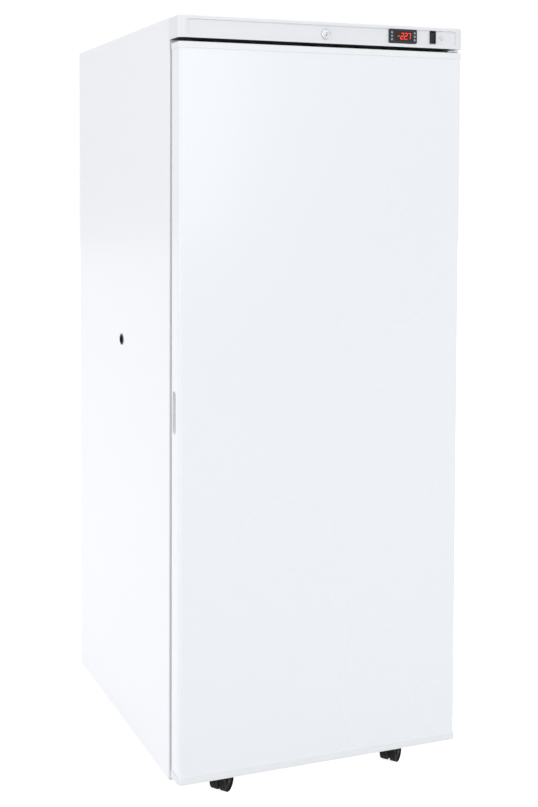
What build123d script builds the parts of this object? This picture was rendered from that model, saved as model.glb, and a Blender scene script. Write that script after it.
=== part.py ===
from build123d import *
import os
from math import cos, radians, sin

os.makedirs("parts", exist_ok=True)

# Upright laboratory freezer with one solid door. Sizes are in millimetres. X runs to the right, Y to
# the back and Z up, from the floor under the middle of the freezer.

# Outer sizes
overall_width = 765.0
overall_height = 1900.0
cabinet_depth = 776.0
door_depth = 52.0
gasket_space = 12.0
castor_height = 68.0

# Sheet metal and walls
sheet = 1.2
base_sheet = 2.0
side_wall = 62.0
back_wall = 64.0
floor_wall = 76.0
roof_below_door_top = 60.0
liner_sheet = 1.5
frame_sheet = 3.0
rear_recess = 40.0
side_return = 22.0
rear_return = 18.0
pan_flange = 24.0
bend_radius = 2.5
cavity_corner_radius = 30.0
cavity_edge_radius = 18.0

# Machine bay under the rear of the cabinet
bay_height = 260.0
bay_depth = 250.0
bay_wall = 60.0

# Door
door_lift = 14.0
top_slot = 9.0
top_cap_height = 15.0
bottom_cap_height = 17.0
door_side_gap = 2.0
cap_proud = 2.0
door_edge_radius = 8.0
cap_edge_radius = 2.0
skin_sheet = 1.0
door_liner_sheet = 2.5
plateau_height = 14.0
plateau_margin = 25.0
plateau_edge_radius = 9.0
gasket_inset = 14.5
gasket_width = 20.0
gasket_end_margin = 16.0
gasket_clearance = 0.3
gasket_base_depth = 3.6
gasket_bellows_depth = 3.84
gasket_waist = 3.5
gasket_bar_inset = 1.0
grip_bottom = 914.0
grip_height = 106.0
grip_width = 24.0
grip_depth = 28.0
grip_wall = 2.0
grip_trim = 0.002
grip_back_margin = 4.0
grip_draft = 6.0

# Hinges
hinge_inset = 16.0
hinge_plate = 3.0
hinge_width = 32.0
hinge_leg = 36.0
hinge_foot = 46.0
hinge_nose = 14.0
hinge_corner_radius = 7.0
pin_radius = 5.0
pin_clearance = 0.05
pin_length = 12.0
bush_wall = 2.5
bush_flange_radius = 11.0
bush_flange = 2.0
bush_clearance = 0.4
cap_shelf = 0.3

# Control hood over the door
hood_height = 52.0
hood_wall = 2.5
hood_front_wall = 5.0
hood_end_radius = 15.0
hood_edge_radius = 4.0
fascia_end_margin = 20.0
fascia_top_margin = 8.5
fascia_bottom_margin = 7.5
fascia_corner_radius = 8.0
fascia_lap = 2.5
fascia_sheet = 1.5
control_clearance = 0.3

# Cam lock in the middle of the hood
lock_drop = 29.4
lock_flange_radius = 12.0
lock_flange = 4.4
lock_edge_radius = 1.46667
lock_barrel_radius = 9.5
lock_barrel_length = 29.0
lock_core_radius = 7.0
lock_core_clearance = 0.05
lock_core_proud = 0.4
lock_core_chamfer = 0.2
key_slot_width = 2.2
key_slot_height = 8.0
key_slot_depth = 8.0
cam_width = 14.0
cam_reach = 42.0
cam_sheet = 3.0
cam_corner_radius = 6.36364
cam_clearance = 3.0

# Temperature controller
controller_from_end = 171.5
controller_drop = 26.0
bezel_width = 78.0
bezel_height = 34.0
bezel_depth = 4.6
bezel_corner_radius = 4.0
bezel_edge_radius = 1.15
controller_cutout_width = 70.0
controller_cutout_height = 28.0
controller_body_depth = 50.0
controller_body_radius = 1.5
window_width = 50.0
window_height = 25.0
window_recess = 0.6
window_clearance = 0.1
button_radius = 2.6
button_clearance = 0.2
button_travel = 0.8
button_proud = 0.4
button_column = 32.0
button_pitch = 8.5

# Rocker switch
switch_from_end = 86.0
switch_drop = 25.0
switch_width = 16.0
switch_height = 31.0
switch_corner_radius = 1.0
switch_flange = 3.5
switch_body_width = 14.0
switch_body_height = 28.6
switch_body_depth = 24.0
rocker_width = 11.0
rocker_half_height = 12.0
rocker_nose = 5.5
rocker_valley = 3.6
rocker_tail = 4.0
rocker_clearance = 0.4
rocker_tilt = 6.0
rocker_pivot_depth = 2.5

# Pilot lamp
lamp_from_end = 59.7
lamp_drop = 25.7
lamp_flange_radius = 6.0
lamp_flange = 3.0
lamp_chamfer = 0.75
lamp_body_radius = 4.6
lamp_body_depth = 14.0
lens_radius = 4.2
lens_proud = 1.2
lens_edge_radius = 1.08

# Evaporator shelves
shelf_count = 5
shelf_above_step = 42.0
shelf_below_roof = 269.0
shelf_runs = 8
shelf_side_gap = 24.0
shelf_front_gap = 32.0
shelf_back_gap = 14.0
coil_tube_radius = 4.0
shelf_wire = 2.4
shelf_wires = 17
shelf_wire_overhang = 9.0
ledge_width = 32.0
ledge_height = 8.0
ledge_clearance = 0.2
riser_reach = 26.0
riser_bend = 12.0
probe_radius = 3.0
probe_edge_radius = 1.0
probe_length = 52.0
probe_y = 100.0
probe_below_roof = 130.0
probe_stand = 9.0
clip_width = 14.0
clip_wall = 3.0
clip_clearance = 0.1

# Access port in the left wall
port_y = 12.0
port_z = 1097.0
port_bore_radius = 10.0
port_tube_radius = 12.0
port_flange_radius = 14.5
port_flange = 1.5

# Condenser on the back
condenser_runs = 13
condenser_pitch = 70.0
condenser_bottom = 470.0
condenser_inset = 101.0
condenser_stand = 18.0
condenser_tube_radius = 2.4
condenser_wire = 1.6
condenser_wires = 17
condenser_wire_overhang = 14.0
condenser_wire_inset = 8.0
bracket_width = 14.0
bracket_height = 26.0
bracket_sheet = 2.4
bracket_inset = 42.0

# Compressor and what belongs to it
compressor_inset = 231.0
compressor_behind_bay_front = 118.0
mount_radius = 11.0
mount_height = 18.0
mount_draft = 8.0
foot_sheet = 3.0
foot_width = 190.0
foot_depth = 130.0
foot_corner_radius = 12.0
mount_inset = 16.0
pot_radius = 72.0
pot_height = 92.0
dome_height = 50.0
dome_rise = 9.0
dome_radius = 34.0
pot_corner_radius = 10.0
weld_lip = 3.0
weld_lip_height = 5.0
relay_width = 34.0
relay_depth = 62.0
relay_height = 58.0
relay_radius = 4.0
relay_top_radius = 2.0
relay_lap = 8.0
relay_lift = 18.0
tray_width = 170.0
tray_depth = 150.0
tray_height = 22.0
tray_wall = 2.0
drier_radius = 10.0
drier_length = 100.0
drier_neck_radius = 3.2
drier_taper = 14.0
drier_collar_wall = 1.0
drier_collar = 6.0
drier_x = -120.0
drier_z = 130.0
line_radius = 3.2
line_bend = 14.0
line_port_height = 46.0
discharge_reach = 50.0
discharge_side_gap = 34.0
return_reach = 50.0
above_drier = 40.0
below_drier = 30.0
capillary_shift = 60.0
capillary_below_roof = 40.0
suction_gap = 20.0
suction_rise = 60.0
inlet_width = 62.0
inlet_depth = 46.0
inlet_height = 74.0
inlet_side_gap = 18.8
socket_width = 24.0
socket_height = 16.0
socket_depth = 18.0
socket_wall = 1.5
socket_corner = 4.0
contact_width = 2.0
contact_height = 5.0
contact_length = 12.0
contact_pitch = 7.0
contact_count = 3

# Twin-wheel castors
castor_inset = 141.0
castor_front = 95.0
castor_back = 110.0
castor_yaw = 40.0
castor_trail = 20.0
castor_plate_size = 64.0
castor_plate = 3.0
castor_plate_radius = 6.0
wheel_radius = 25.0
wheel_width = 16.0
wheel_gap = 1.0
web_thickness = 8.0
web_radius = 9.6
tread_depth = 3.0
hub_dish = 2.5
hub_radius = 8.4
axle_radius = 4.0
axle_clearance = 0.06
kingpin_radius = 5.0
kingpin_clearance = 0.06
kingpin_reach = 11.0
swivel_radius = 12.0
swivel_gap = 0.5
fender_gap = 1.4
fender_wall = 2.2
fender_start = 12.0
fender_sweep = 150.0

# Levels and planes that follow from the sizes above
front_y = -(cabinet_depth + gasket_space + door_depth) / 2
door_back_y = front_y + door_depth
face_y = door_back_y + gasket_space
rear_y = face_y + cabinet_depth
back_y = rear_y - rear_recess
hood_half = overall_width / 2
cabinet_half = hood_half - port_flange
inner_half = cabinet_half - sheet
base_z = castor_height
floor_top = base_z + base_sheet
roof_under = overall_height - sheet
hood_bottom = overall_height - hood_height
door_top = hood_bottom - top_slot
door_bottom = base_z + door_lift
skin_bottom = door_bottom + bottom_cap_height
skin_top = door_top - top_cap_height
cap_half = hood_half - door_side_gap
skin_half = cap_half - cap_proud
skin_front_y = front_y + cap_proud
cavity_half = cabinet_half - side_wall
cavity_floor = base_z + floor_wall
cavity_roof = door_top - roof_below_door_top
cavity_back = back_y - back_wall
liner_front_y = face_y + frame_sheet
bay_top = base_z + bay_height
bay_front = rear_y - bay_depth
step_top = bay_top + bay_wall
step_front = bay_front - bay_wall
frame_half = cabinet_half - side_return
frame_top = overall_height - pan_flange
frame_bottom = base_z + pan_flange
door_liner_front_y = door_back_y - door_liner_sheet
hinge_x = cabinet_half - hinge_inset
hinge_y = front_y + door_depth / 2
bracket_x = hinge_x + hinge_nose - hinge_width / 2
fascia_y = front_y + hood_front_wall
lowest_shelf = step_top + shelf_above_step
shelf_pitch = (cavity_roof - shelf_below_roof - lowest_shelf) / (shelf_count - 1)
shelf_levels = [lowest_shelf + number * shelf_pitch for number in range(shelf_count)]
controller_x = hood_half - controller_from_end
switch_x = hood_half - switch_from_end
lamp_x = hood_half - lamp_from_end


def front_plane(y):
    # upright plane at a given depth, facing the user
    return Plane.XZ.offset(-y)


def save(piece, name):
    piece.part.label = name
    export_step(piece.part, f"parts/{name}.step")


# Left and right side panels: folded sheets with a return at the front and at the rear.
for side, side_name in ((-1, "left"), (1, "right")):
    with BuildPart() as side_panel:
        with BuildSketch(Plane.XY.offset(base_z)) as panel_profile:
            with Locations((side * (cabinet_half - side_return / 2), (face_y + rear_y) / 2)):
                Rectangle(side_return, cabinet_depth)
            outer_corners = panel_profile.vertices().group_by(Axis.X)[0 if side < 0 else -1]
            fillet(outer_corners, bend_radius)
            with Locations((side * (inner_half - side_return / 2), (face_y + rear_y) / 2)):
                Rectangle(side_return, cabinet_depth - 2 * sheet, mode=Mode.SUBTRACT)
            with Locations((side * (cabinet_half - rear_return - side_return / 2), rear_y - sheet / 2)):
                Rectangle(side_return, sheet, mode=Mode.SUBTRACT)
        extrude(amount=overall_height - base_z)
        if side < 0:
            with BuildSketch(Plane.YZ.offset(-cabinet_half)):
                with Locations((port_y, port_z)):
                    Circle(port_tube_radius)
            extrude(amount=sheet, mode=Mode.SUBTRACT)
    save(side_panel, f"{side_name}_side_panel")

# Top panel and base pan: sheets between the side panels, with a flange along the front.
flat_depth = cabinet_depth - 2 * sheet
with BuildPart() as top_panel:
    with BuildSketch(Plane.XY.offset(roof_under)):
        with Locations((0, (face_y + rear_y) / 2)):
            Rectangle(2 * inner_half, flat_depth)
    extrude(amount=sheet)
    with BuildSketch(front_plane(face_y)):
        with Locations((0, overall_height - pan_flange / 2)):
            Rectangle(2 * frame_half, pan_flange)
    extrude(amount=-sheet)
save(top_panel, "top_panel")

with BuildPart() as base_pan:
    with BuildSketch(Plane.XY.offset(base_z)):
        with Locations((0, (face_y + rear_y) / 2)):
            Rectangle(2 * inner_half, flat_depth)
    extrude(amount=base_sheet)
    with BuildSketch(front_plane(face_y)):
        with Locations((0, base_z + pan_flange / 2)):
            Rectangle(2 * frame_half, pan_flange)
    extrude(amount=-sheet)
save(base_pan, "base_pan")

# Back panel: one folded sheet that drops down the back, steps forward over the machine bay and runs
# down to the base pan.
with BuildPart() as back_panel:
    with BuildSketch(Plane.YZ):
        with BuildLine():
            Polyline(
                (back_y, roof_under),
                (back_y, bay_top),
                (bay_front, bay_top),
                (bay_front, floor_top),
                (bay_front - sheet, floor_top),
                (bay_front - sheet, bay_top + sheet),
                (back_y - sheet, bay_top + sheet),
                (back_y - sheet, roof_under),
                close=True,
            )
        make_face()
    extrude(amount=inner_half, both=True)
save(back_panel, "back_panel")


def cavity_block(growth):
    # the cold space with its step over the machine bay, grown outwards by the liner's thickness
    with BuildPart() as block:
        with BuildSketch(Plane.YZ.offset(-cavity_half - growth)) as side_view:
            with BuildLine():
                Polyline(
                    (liner_front_y, cavity_floor - growth),
                    (step_front + growth, cavity_floor - growth),
                    (step_front + growth, step_top - growth),
                    (cavity_back + growth, step_top - growth),
                    (cavity_back + growth, cavity_roof + growth),
                    (liner_front_y, cavity_roof + growth),
                    close=True,
                )
            make_face()
            inner_corner = (step_front + growth, step_top - growth)
            corners = side_view.vertices().filter_by(lambda v: v.X > liner_front_y + growth)
            fillet(corners.sort_by_distance(inner_corner)[1:], cavity_corner_radius + growth)
            fillet(side_view.vertices().sort_by_distance(inner_corner)[0], cavity_corner_radius - growth)
        extrude(amount=2 * (cavity_half + growth))
        rims = block.faces().filter_by(Axis.X).edges()
        fillet(rims.filter_by(lambda e: (e @ 0.5).Y > liner_front_y + growth), cavity_edge_radius + growth)
    return block.part


# Inner liner: a moulded shell with shelf ledges on both side walls and a hole for the access port.
cold_space = cavity_block(0)
liner_outside = cavity_block(liner_sheet)
shelf_half = cavity_half - shelf_side_gap
run_pitch = 2 * shelf_half / (shelf_runs - 1)
shelf_bend_reach = run_pitch / 2 + coil_tube_radius
shelf_front_y = liner_front_y + shelf_front_gap + shelf_bend_reach
shelf_back_y = cavity_back - shelf_back_gap - shelf_bend_reach
ledge_length = shelf_back_y - shelf_front_y
with BuildPart() as inner_liner:
    add(liner_outside)
    add(cold_space, mode=Mode.SUBTRACT)
    for shelf_z in shelf_levels:
        ledge_top = shelf_z - coil_tube_radius - ledge_clearance
        with BuildSketch(Plane.XY.offset(ledge_top - ledge_height)):
            for side in (-1, 1):
                with Locations((side * (cavity_half - ledge_width / 2), shelf_front_y + ledge_length / 2)):
                    Rectangle(ledge_width, ledge_length)
        extrude(amount=ledge_height)
    with BuildSketch(Plane.YZ.offset(-cavity_half)):
        with Locations((port_y, port_z)):
            Circle(port_tube_radius)
    extrude(amount=-liner_sheet, mode=Mode.SUBTRACT)
save(inner_liner, "inner_liner")

# Insulation foam: fills the space between the liner and the outer sheets.
with BuildPart() as insulation_foam:
    with BuildSketch(Plane.XY.offset(floor_top)):
        with Locations((0, (liner_front_y + back_y - sheet) / 2)):
            Rectangle(2 * inner_half, back_y - sheet - liner_front_y)
    extrude(amount=roof_under - floor_top)
    with BuildSketch(Plane.YZ):
        with Locations(((bay_front - sheet + rear_y) / 2, (floor_top + bay_top + sheet) / 2)):
            Rectangle(rear_y - bay_front + sheet, bay_top + sheet - floor_top)
    extrude(amount=inner_half, both=True, mode=Mode.SUBTRACT)
    add(liner_outside, mode=Mode.SUBTRACT)
    with BuildSketch(Plane.YZ.offset(-inner_half)):
        with Locations((port_y, port_z)):
            Circle(port_tube_radius)
    extrude(amount=side_wall, mode=Mode.SUBTRACT)
save(insulation_foam, "insulation_foam")

# Front frame: the flat steel face round the mouth of the cold space, where the gasket closes.
with BuildPart() as front_frame:
    with BuildSketch(front_plane(face_y)):
        with Locations((0, (frame_top + frame_bottom) / 2)):
            Rectangle(2 * frame_half, frame_top - frame_bottom)
        with Locations((0, (cavity_roof + cavity_floor) / 2)):
            RectangleRounded(
                2 * cavity_half, cavity_roof - cavity_floor, cavity_edge_radius, mode=Mode.SUBTRACT
            )
    extrude(amount=-frame_sheet)
save(front_frame, "front_frame")

# Access port sleeve: a tube through the left wall with a flange outside and a nut ring inside.
port_length = cabinet_half - cavity_half
with BuildPart() as access_port_sleeve:
    with BuildSketch(Plane.YZ.offset(-hood_half)):
        with Locations((port_y, port_z)):
            Circle(port_flange_radius)
    extrude(amount=port_flange)
    with BuildSketch(Plane.YZ.offset(-cabinet_half)):
        with Locations((port_y, port_z)):
            Circle(port_tube_radius)
    extrude(amount=port_length)
    with BuildSketch(Plane.YZ.offset(-cavity_half)):
        with Locations((port_y, port_z)):
            Circle(port_flange_radius)
    extrude(amount=port_flange)
    with BuildSketch(Plane.YZ.offset(-hood_half)):
        with Locations((port_y, port_z)):
            Circle(port_bore_radius)
    extrude(amount=port_length + 2 * port_flange, mode=Mode.SUBTRACT)
save(access_port_sleeve, "access_port_sleeve")

# Evaporator shelves: each is one bent tube with cross wires brazed on top, resting on the ledges.
wire_length = 2 * (shelf_half + shelf_wire_overhang)
wire_pitch = (shelf_back_y - shelf_front_y) / (shelf_wires - 1)
for number, shelf_z in enumerate(shelf_levels, start=1):
    with BuildPart() as evaporator_shelf:
        with BuildLine(Plane.XY.offset(shelf_z)) as coil:
            for run in range(shelf_runs):
                run_x = -shelf_half + run * run_pitch
                Line((run_x, shelf_front_y), (run_x, shelf_back_y))
                if run == shelf_runs - 1:
                    break
                bends_in_front = run % 2 == 0
                bend_y = shelf_front_y if bends_in_front else shelf_back_y
                start_angle = 180 if bends_in_front else 0
                CenterArc((run_x + run_pitch / 2, bend_y), run_pitch / 2, start_angle, 180)
        coil_path = coil.wire()
        with BuildSketch(Plane(coil_path @ 0, z_dir=coil_path % 0)):
            Circle(coil_tube_radius)
        sweep(path=coil_path)
        with BuildSketch(Plane.XY.offset(shelf_z + coil_tube_radius)):
            with Locations((0, (shelf_front_y + shelf_back_y) / 2)):
                with GridLocations(0, wire_pitch, 1, shelf_wires):
                    Rectangle(wire_length, shelf_wire)
        extrude(amount=shelf_wire)
    save(evaporator_shelf, f"evaporator_shelf_{number}")

# Riser tubes: they join each shelf to the next behind it, by turns at the right and at the left, and
# a stub at either end of the chain goes into the back wall.
riser_y = shelf_back_y + riser_reach
with BuildPart() as riser_tubes:
    routes = []
    for number in range(shelf_count - 1):
        riser_x = shelf_half if number % 2 == 0 else -shelf_half
        lower = shelf_levels[number]
        upper = shelf_levels[number + 1]
        routes.append(
            [
                (riser_x, shelf_back_y, lower),
                (riser_x, riser_y, lower),
                (riser_x, riser_y, upper),
                (riser_x, shelf_back_y, upper),
            ]
        )
    for route in routes:
        with BuildLine() as riser:
            FilletPolyline(*route, radius=riser_bend)
        riser_path = riser.wire()
        with BuildSketch(Plane(riser_path @ 0, z_dir=riser_path % 0)):
            Circle(coil_tube_radius)
        sweep(path=riser_path)
    last_x = shelf_half if shelf_count % 2 == 1 else -shelf_half
    for stub_x, stub_z in ((-shelf_half, shelf_levels[0]), (last_x, shelf_levels[-1])):
        with BuildSketch(front_plane(cavity_back)):
            with Locations((stub_x, stub_z)):
                Circle(coil_tube_radius)
        extrude(amount=cavity_back - shelf_back_y)
save(riser_tubes, "riser_tubes")

# Temperature probe in its clip, high on the right wall.
probe_x = cavity_half - probe_stand
probe_z = cavity_roof - probe_below_roof
clip_height = 2 * (probe_radius + clip_clearance + clip_wall)
with BuildPart() as temperature_probe:
    with BuildSketch(front_plane(probe_y)):
        with Locations((probe_x, probe_z)):
            Circle(probe_radius)
    extrude(amount=probe_length / 2, both=True)
    fillet(temperature_probe.edges().filter_by(GeomType.CIRCLE), probe_edge_radius)
    with BuildSketch(front_plane(probe_y)):
        with Locations(((probe_x - probe_radius - clip_wall + cavity_half) / 2, probe_z)):
            Rectangle(cavity_half - probe_x + probe_radius + clip_wall, clip_height)
        with Locations((probe_x, probe_z)):
            Circle(probe_radius + clip_clearance, mode=Mode.SUBTRACT)
    extrude(amount=clip_width / 2, both=True)
save(temperature_probe, "temperature_probe")

# Control hood: a moulded cover over the front of the cabinet top, open at the back, with a mouth for
# the fascia and a slot below for the lock's cam.
fascia_bottom = hood_bottom + fascia_bottom_margin
fascia_top = overall_height - fascia_top_margin
fascia_mid_z = (fascia_bottom + fascia_top) / 2
fascia_height = fascia_top - fascia_bottom
fascia_half = hood_half - fascia_end_margin
lock_z = overall_height - lock_drop
cam_y = fascia_y + lock_barrel_length + cam_clearance
cam_slot_y = cam_y + cam_sheet / 2
cam_slot_depth = cam_sheet + 2 * cam_clearance
cam_slot_left = -cam_width / 2 - cam_clearance
cam_slot_right = cam_reach + cam_clearance
hood_depth = face_y - front_y
bracket_back_y = face_y - hinge_plate
with BuildPart() as control_hood:
    with BuildSketch(Plane.XY.offset(hood_bottom)):
        with Locations((0, (front_y + face_y) / 2)):
            Rectangle(2 * hood_half, hood_depth)
    extrude(amount=hood_height)
    front_corners = control_hood.edges().filter_by(Axis.Z).group_by(Axis.Y)[0]
    fillet(front_corners, hood_end_radius)
    hood_rim = control_hood.faces().sort_by(Axis.Z)[-1].edges()
    fillet(hood_rim.sort_by(Axis.Y)[:-1], hood_edge_radius)
    with BuildSketch(Plane.XY.offset(hood_bottom + hood_wall)) as hood_hollow:
        with Locations((0, (front_y + hood_front_wall + face_y) / 2)):
            Rectangle(2 * (hood_half - hood_wall), hood_depth - hood_front_wall)
        fillet(hood_hollow.vertices().group_by(Axis.Y)[0], hood_end_radius - hood_wall)
    extrude(amount=hood_height - 2 * hood_wall, mode=Mode.SUBTRACT)
    with BuildSketch(front_plane(front_y)):
        with Locations((0, fascia_mid_z)):
            RectangleRounded(2 * fascia_half, fascia_height, fascia_corner_radius)
    extrude(amount=-hood_front_wall, mode=Mode.SUBTRACT)
    with BuildSketch(Plane.XY.offset(hood_bottom)):
        with Locations(((cam_slot_left + cam_slot_right) / 2, cam_slot_y)):
            Rectangle(cam_slot_right - cam_slot_left, cam_slot_depth)
        with Locations((bracket_x, face_y)):
            Rectangle(hinge_width + 2 * control_clearance, 2 * (hinge_plate + control_clearance))
    extrude(amount=hood_wall, mode=Mode.SUBTRACT)
save(control_hood, "control_hood")

# Fascia plate: closes the mouth of the hood from behind and carries the controls.
controller_z = overall_height - controller_drop
switch_z = overall_height - switch_drop
lamp_z = overall_height - lamp_drop
with BuildPart() as fascia_plate:
    with BuildSketch(front_plane(fascia_y)):
        with Locations((0, fascia_mid_z)):
            Rectangle(2 * (fascia_half + fascia_lap), fascia_height + 2 * fascia_lap)
        with Locations((0, lock_z)):
            Circle(lock_barrel_radius, mode=Mode.SUBTRACT)
        with Locations((controller_x, controller_z)):
            Rectangle(
                controller_cutout_width + control_clearance,
                controller_cutout_height + control_clearance,
                mode=Mode.SUBTRACT,
            )
        with Locations((switch_x, switch_z)):
            Rectangle(
                switch_body_width + control_clearance,
                switch_body_height + control_clearance,
                mode=Mode.SUBTRACT,
            )
        with Locations((lamp_x, lamp_z)):
            Circle(lamp_body_radius, mode=Mode.SUBTRACT)
    extrude(amount=-fascia_sheet)
save(fascia_plate, "fascia_plate")

# Lock housing: a flanged barrel through the fascia, bored for the turning core.
lock_bore = lock_core_radius + lock_core_clearance
with BuildPart() as lock_housing:
    with BuildSketch(front_plane(fascia_y)):
        with Locations((0, lock_z)):
            Circle(lock_flange_radius)
    extrude(amount=lock_flange)
    fillet(lock_housing.faces().sort_by(Axis.Y)[0].edges(), lock_edge_radius)
    with BuildSketch(front_plane(fascia_y)):
        with Locations((0, lock_z)):
            Circle(lock_barrel_radius)
    extrude(amount=-lock_barrel_length)
    with BuildSketch(front_plane(fascia_y - lock_flange)):
        with Locations((0, lock_z)):
            Circle(lock_bore)
    extrude(amount=-lock_barrel_length - lock_flange, mode=Mode.SUBTRACT)
save(lock_housing, "lock_housing")

# Lock core with its key slot, and the cam on its inner end, pointing to the right when unlocked.
core_front_y = fascia_y - lock_flange - lock_core_proud
with BuildPart() as lock_cylinder:
    with BuildSketch(front_plane(core_front_y)):
        with Locations((0, lock_z)):
            Circle(lock_core_radius)
    extrude(amount=core_front_y - cam_y)
    chamfer(lock_cylinder.faces().sort_by(Axis.Y)[0].edges(), lock_core_chamfer)
    with BuildSketch(front_plane(core_front_y)):
        with Locations((0, lock_z)):
            Rectangle(key_slot_width, key_slot_height)
    extrude(amount=-key_slot_depth, mode=Mode.SUBTRACT)
save(lock_cylinder, "lock_cylinder")

with BuildPart() as lock_cam:
    with BuildSketch(front_plane(cam_y)) as cam_profile:
        with Locations(((cam_reach - cam_width / 2) / 2, lock_z)):
            Rectangle(cam_reach + cam_width / 2, cam_width)
        fillet(cam_profile.vertices(), cam_corner_radius)
    extrude(amount=-cam_sheet)
save(lock_cam, "lock_cam")

# Temperature controller: body behind the fascia, bezel in front, a dark window and six keys.
with BuildPart() as controller_body:
    with BuildSketch(front_plane(fascia_y)):
        with Locations((controller_x, controller_z)):
            Rectangle(controller_cutout_width, controller_cutout_height)
    extrude(amount=-controller_body_depth)
    fillet(controller_body.faces().sort_by(Axis.Y)[-1].edges(), controller_body_radius)
save(controller_body, "controller_body")

button_places = []
for column in (-1, 1):
    for row in (-1, 0, 1):
        button_places.append((controller_x + column * button_column, controller_z + row * button_pitch))

bezel_front_y = fascia_y - bezel_depth
with BuildPart() as controller_bezel:
    with BuildSketch(front_plane(fascia_y)):
        with Locations((controller_x, controller_z)):
            RectangleRounded(bezel_width, bezel_height, bezel_corner_radius)
    extrude(amount=bezel_depth)
    fillet(controller_bezel.faces().sort_by(Axis.Y)[0].edges(), bezel_edge_radius)
    with BuildSketch(front_plane(bezel_front_y)):
        with Locations((controller_x, controller_z)):
            Rectangle(window_width + 2 * window_clearance, window_height + 2 * window_clearance)
        with Locations(*button_places):
            Circle(button_radius + button_clearance)
    extrude(amount=-bezel_depth, mode=Mode.SUBTRACT)
save(controller_bezel, "controller_bezel")

with BuildPart() as display_window:
    with BuildSketch(front_plane(fascia_y)):
        with Locations((controller_x, controller_z)):
            Rectangle(window_width, window_height)
    extrude(amount=bezel_depth - window_recess)
save(display_window, "display_window")

button_front_y = bezel_front_y - button_proud
button_length = bezel_depth + button_proud - button_travel - control_clearance
for number, place in enumerate(button_places, start=1):
    with BuildPart() as controller_button:
        with BuildSketch(front_plane(button_front_y)):
            with Locations(place):
                Circle(button_radius)
        extrude(amount=-button_length)
        fillet(controller_button.faces().sort_by(Axis.Y)[0].edges(), button_proud)
    save(controller_button, f"controller_button_{number}")

# Rocker switch: a flanged housing with a deep window, and a rocker that tilts on a level axis.
pivot_y = fascia_y + rocker_pivot_depth
rocker_reach = (rocker_half_height**2 + rocker_nose**2) ** 0.5
with BuildPart() as switch_housing:
    with BuildSketch(front_plane(fascia_y)):
        with Locations((switch_x, switch_z)):
            RectangleRounded(switch_width, switch_height, switch_corner_radius)
    extrude(amount=switch_flange)
    with BuildSketch(front_plane(fascia_y)):
        with Locations((switch_x, switch_z)):
            Rectangle(switch_body_width, switch_body_height)
    extrude(amount=-switch_body_depth)
    with BuildSketch(front_plane(fascia_y - switch_flange)):
        with Locations((switch_x, switch_z)):
            Rectangle(rocker_width + 2 * rocker_clearance, 2 * (rocker_reach + rocker_clearance))
    well_depth = switch_flange + rocker_pivot_depth + rocker_half_height
    extrude(amount=-well_depth, mode=Mode.SUBTRACT)
save(switch_housing, "switch_housing")

# The rocker's profile is drawn round its pivot: ends on one circle, so that they keep their distance
# from the housing as it tilts, and a shallow valley in front.
tilt_along_y = -sin(radians(rocker_tilt))
tilt_along_z = cos(radians(rocker_tilt))
rocker_plane = Plane(
    origin=(switch_x, pivot_y, switch_z), x_dir=(0, tilt_along_y, tilt_along_z), z_dir=(1, 0, 0)
)
tail_half = (rocker_reach**2 - rocker_tail**2) ** 0.5
with BuildPart() as switch_rocker:
    with BuildSketch(rocker_plane):
        with BuildLine():
            Line((-tail_half, -rocker_tail), (tail_half, -rocker_tail))
            ThreePointArc((tail_half, -rocker_tail), (rocker_reach, 0), (rocker_half_height, rocker_nose))
            ThreePointArc(
                (rocker_half_height, rocker_nose), (0, rocker_valley), (-rocker_half_height, rocker_nose)
            )
            ThreePointArc((-rocker_half_height, rocker_nose), (-rocker_reach, 0), (-tail_half, -rocker_tail))
        make_face()
    extrude(amount=rocker_width / 2, both=True)
save(switch_rocker, "switch_rocker")

# Pilot lamp: a flanged body with a domed lens.
with BuildPart() as pilot_lamp:
    with BuildSketch(front_plane(fascia_y)):
        with Locations((lamp_x, lamp_z)):
            Circle(lamp_flange_radius)
    extrude(amount=lamp_flange)
    chamfer(pilot_lamp.faces().sort_by(Axis.Y)[0].edges(), lamp_chamfer)
    with BuildSketch(front_plane(fascia_y)):
        with Locations((lamp_x, lamp_z)):
            Circle(lamp_body_radius)
    extrude(amount=-lamp_body_depth)
    with BuildSketch(front_plane(fascia_y - lamp_flange)):
        with Locations((lamp_x, lamp_z)):
            Circle(lens_radius)
    extrude(amount=lens_proud)
    fillet(pilot_lamp.faces().sort_by(Axis.Y)[0].edges(), lens_edge_radius)
save(pilot_lamp, "pilot_lamp")

# Door skin: a sheet folded round the front and both sides, with a slot for the grip in the left side.
grip_back_y = door_back_y - grip_back_margin
grip_mid_y = grip_back_y - grip_width / 2
grip_mid_z = grip_bottom + grip_height / 2
grip_radius = grip_width / 2
skin_depth = door_liner_front_y - skin_front_y
skin_mid_y = (skin_front_y + door_liner_front_y) / 2
with BuildPart() as door_skin:
    with BuildSketch(Plane.XY.offset(skin_bottom)) as skin_profile:
        with Locations((0, skin_mid_y)):
            Rectangle(2 * skin_half, skin_depth)
        fillet(skin_profile.vertices().group_by(Axis.Y)[0], door_edge_radius)
        with BuildSketch(mode=Mode.PRIVATE) as skin_inside:
            with Locations((0, skin_mid_y + skin_sheet)):
                Rectangle(2 * (skin_half - skin_sheet), skin_depth)
            fillet(skin_inside.vertices().group_by(Axis.Y)[0], door_edge_radius - skin_sheet)
        add(skin_inside.sketch, mode=Mode.SUBTRACT)
    extrude(amount=skin_top - skin_bottom)
    with BuildSketch(Plane.YZ.offset(-skin_half)):
        with Locations((grip_mid_y, grip_mid_z)):
            SlotOverall(grip_height, grip_width - grip_trim, rotation=90)
    extrude(amount=skin_sheet, mode=Mode.SUBTRACT)
save(door_skin, "door_skin")

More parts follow.
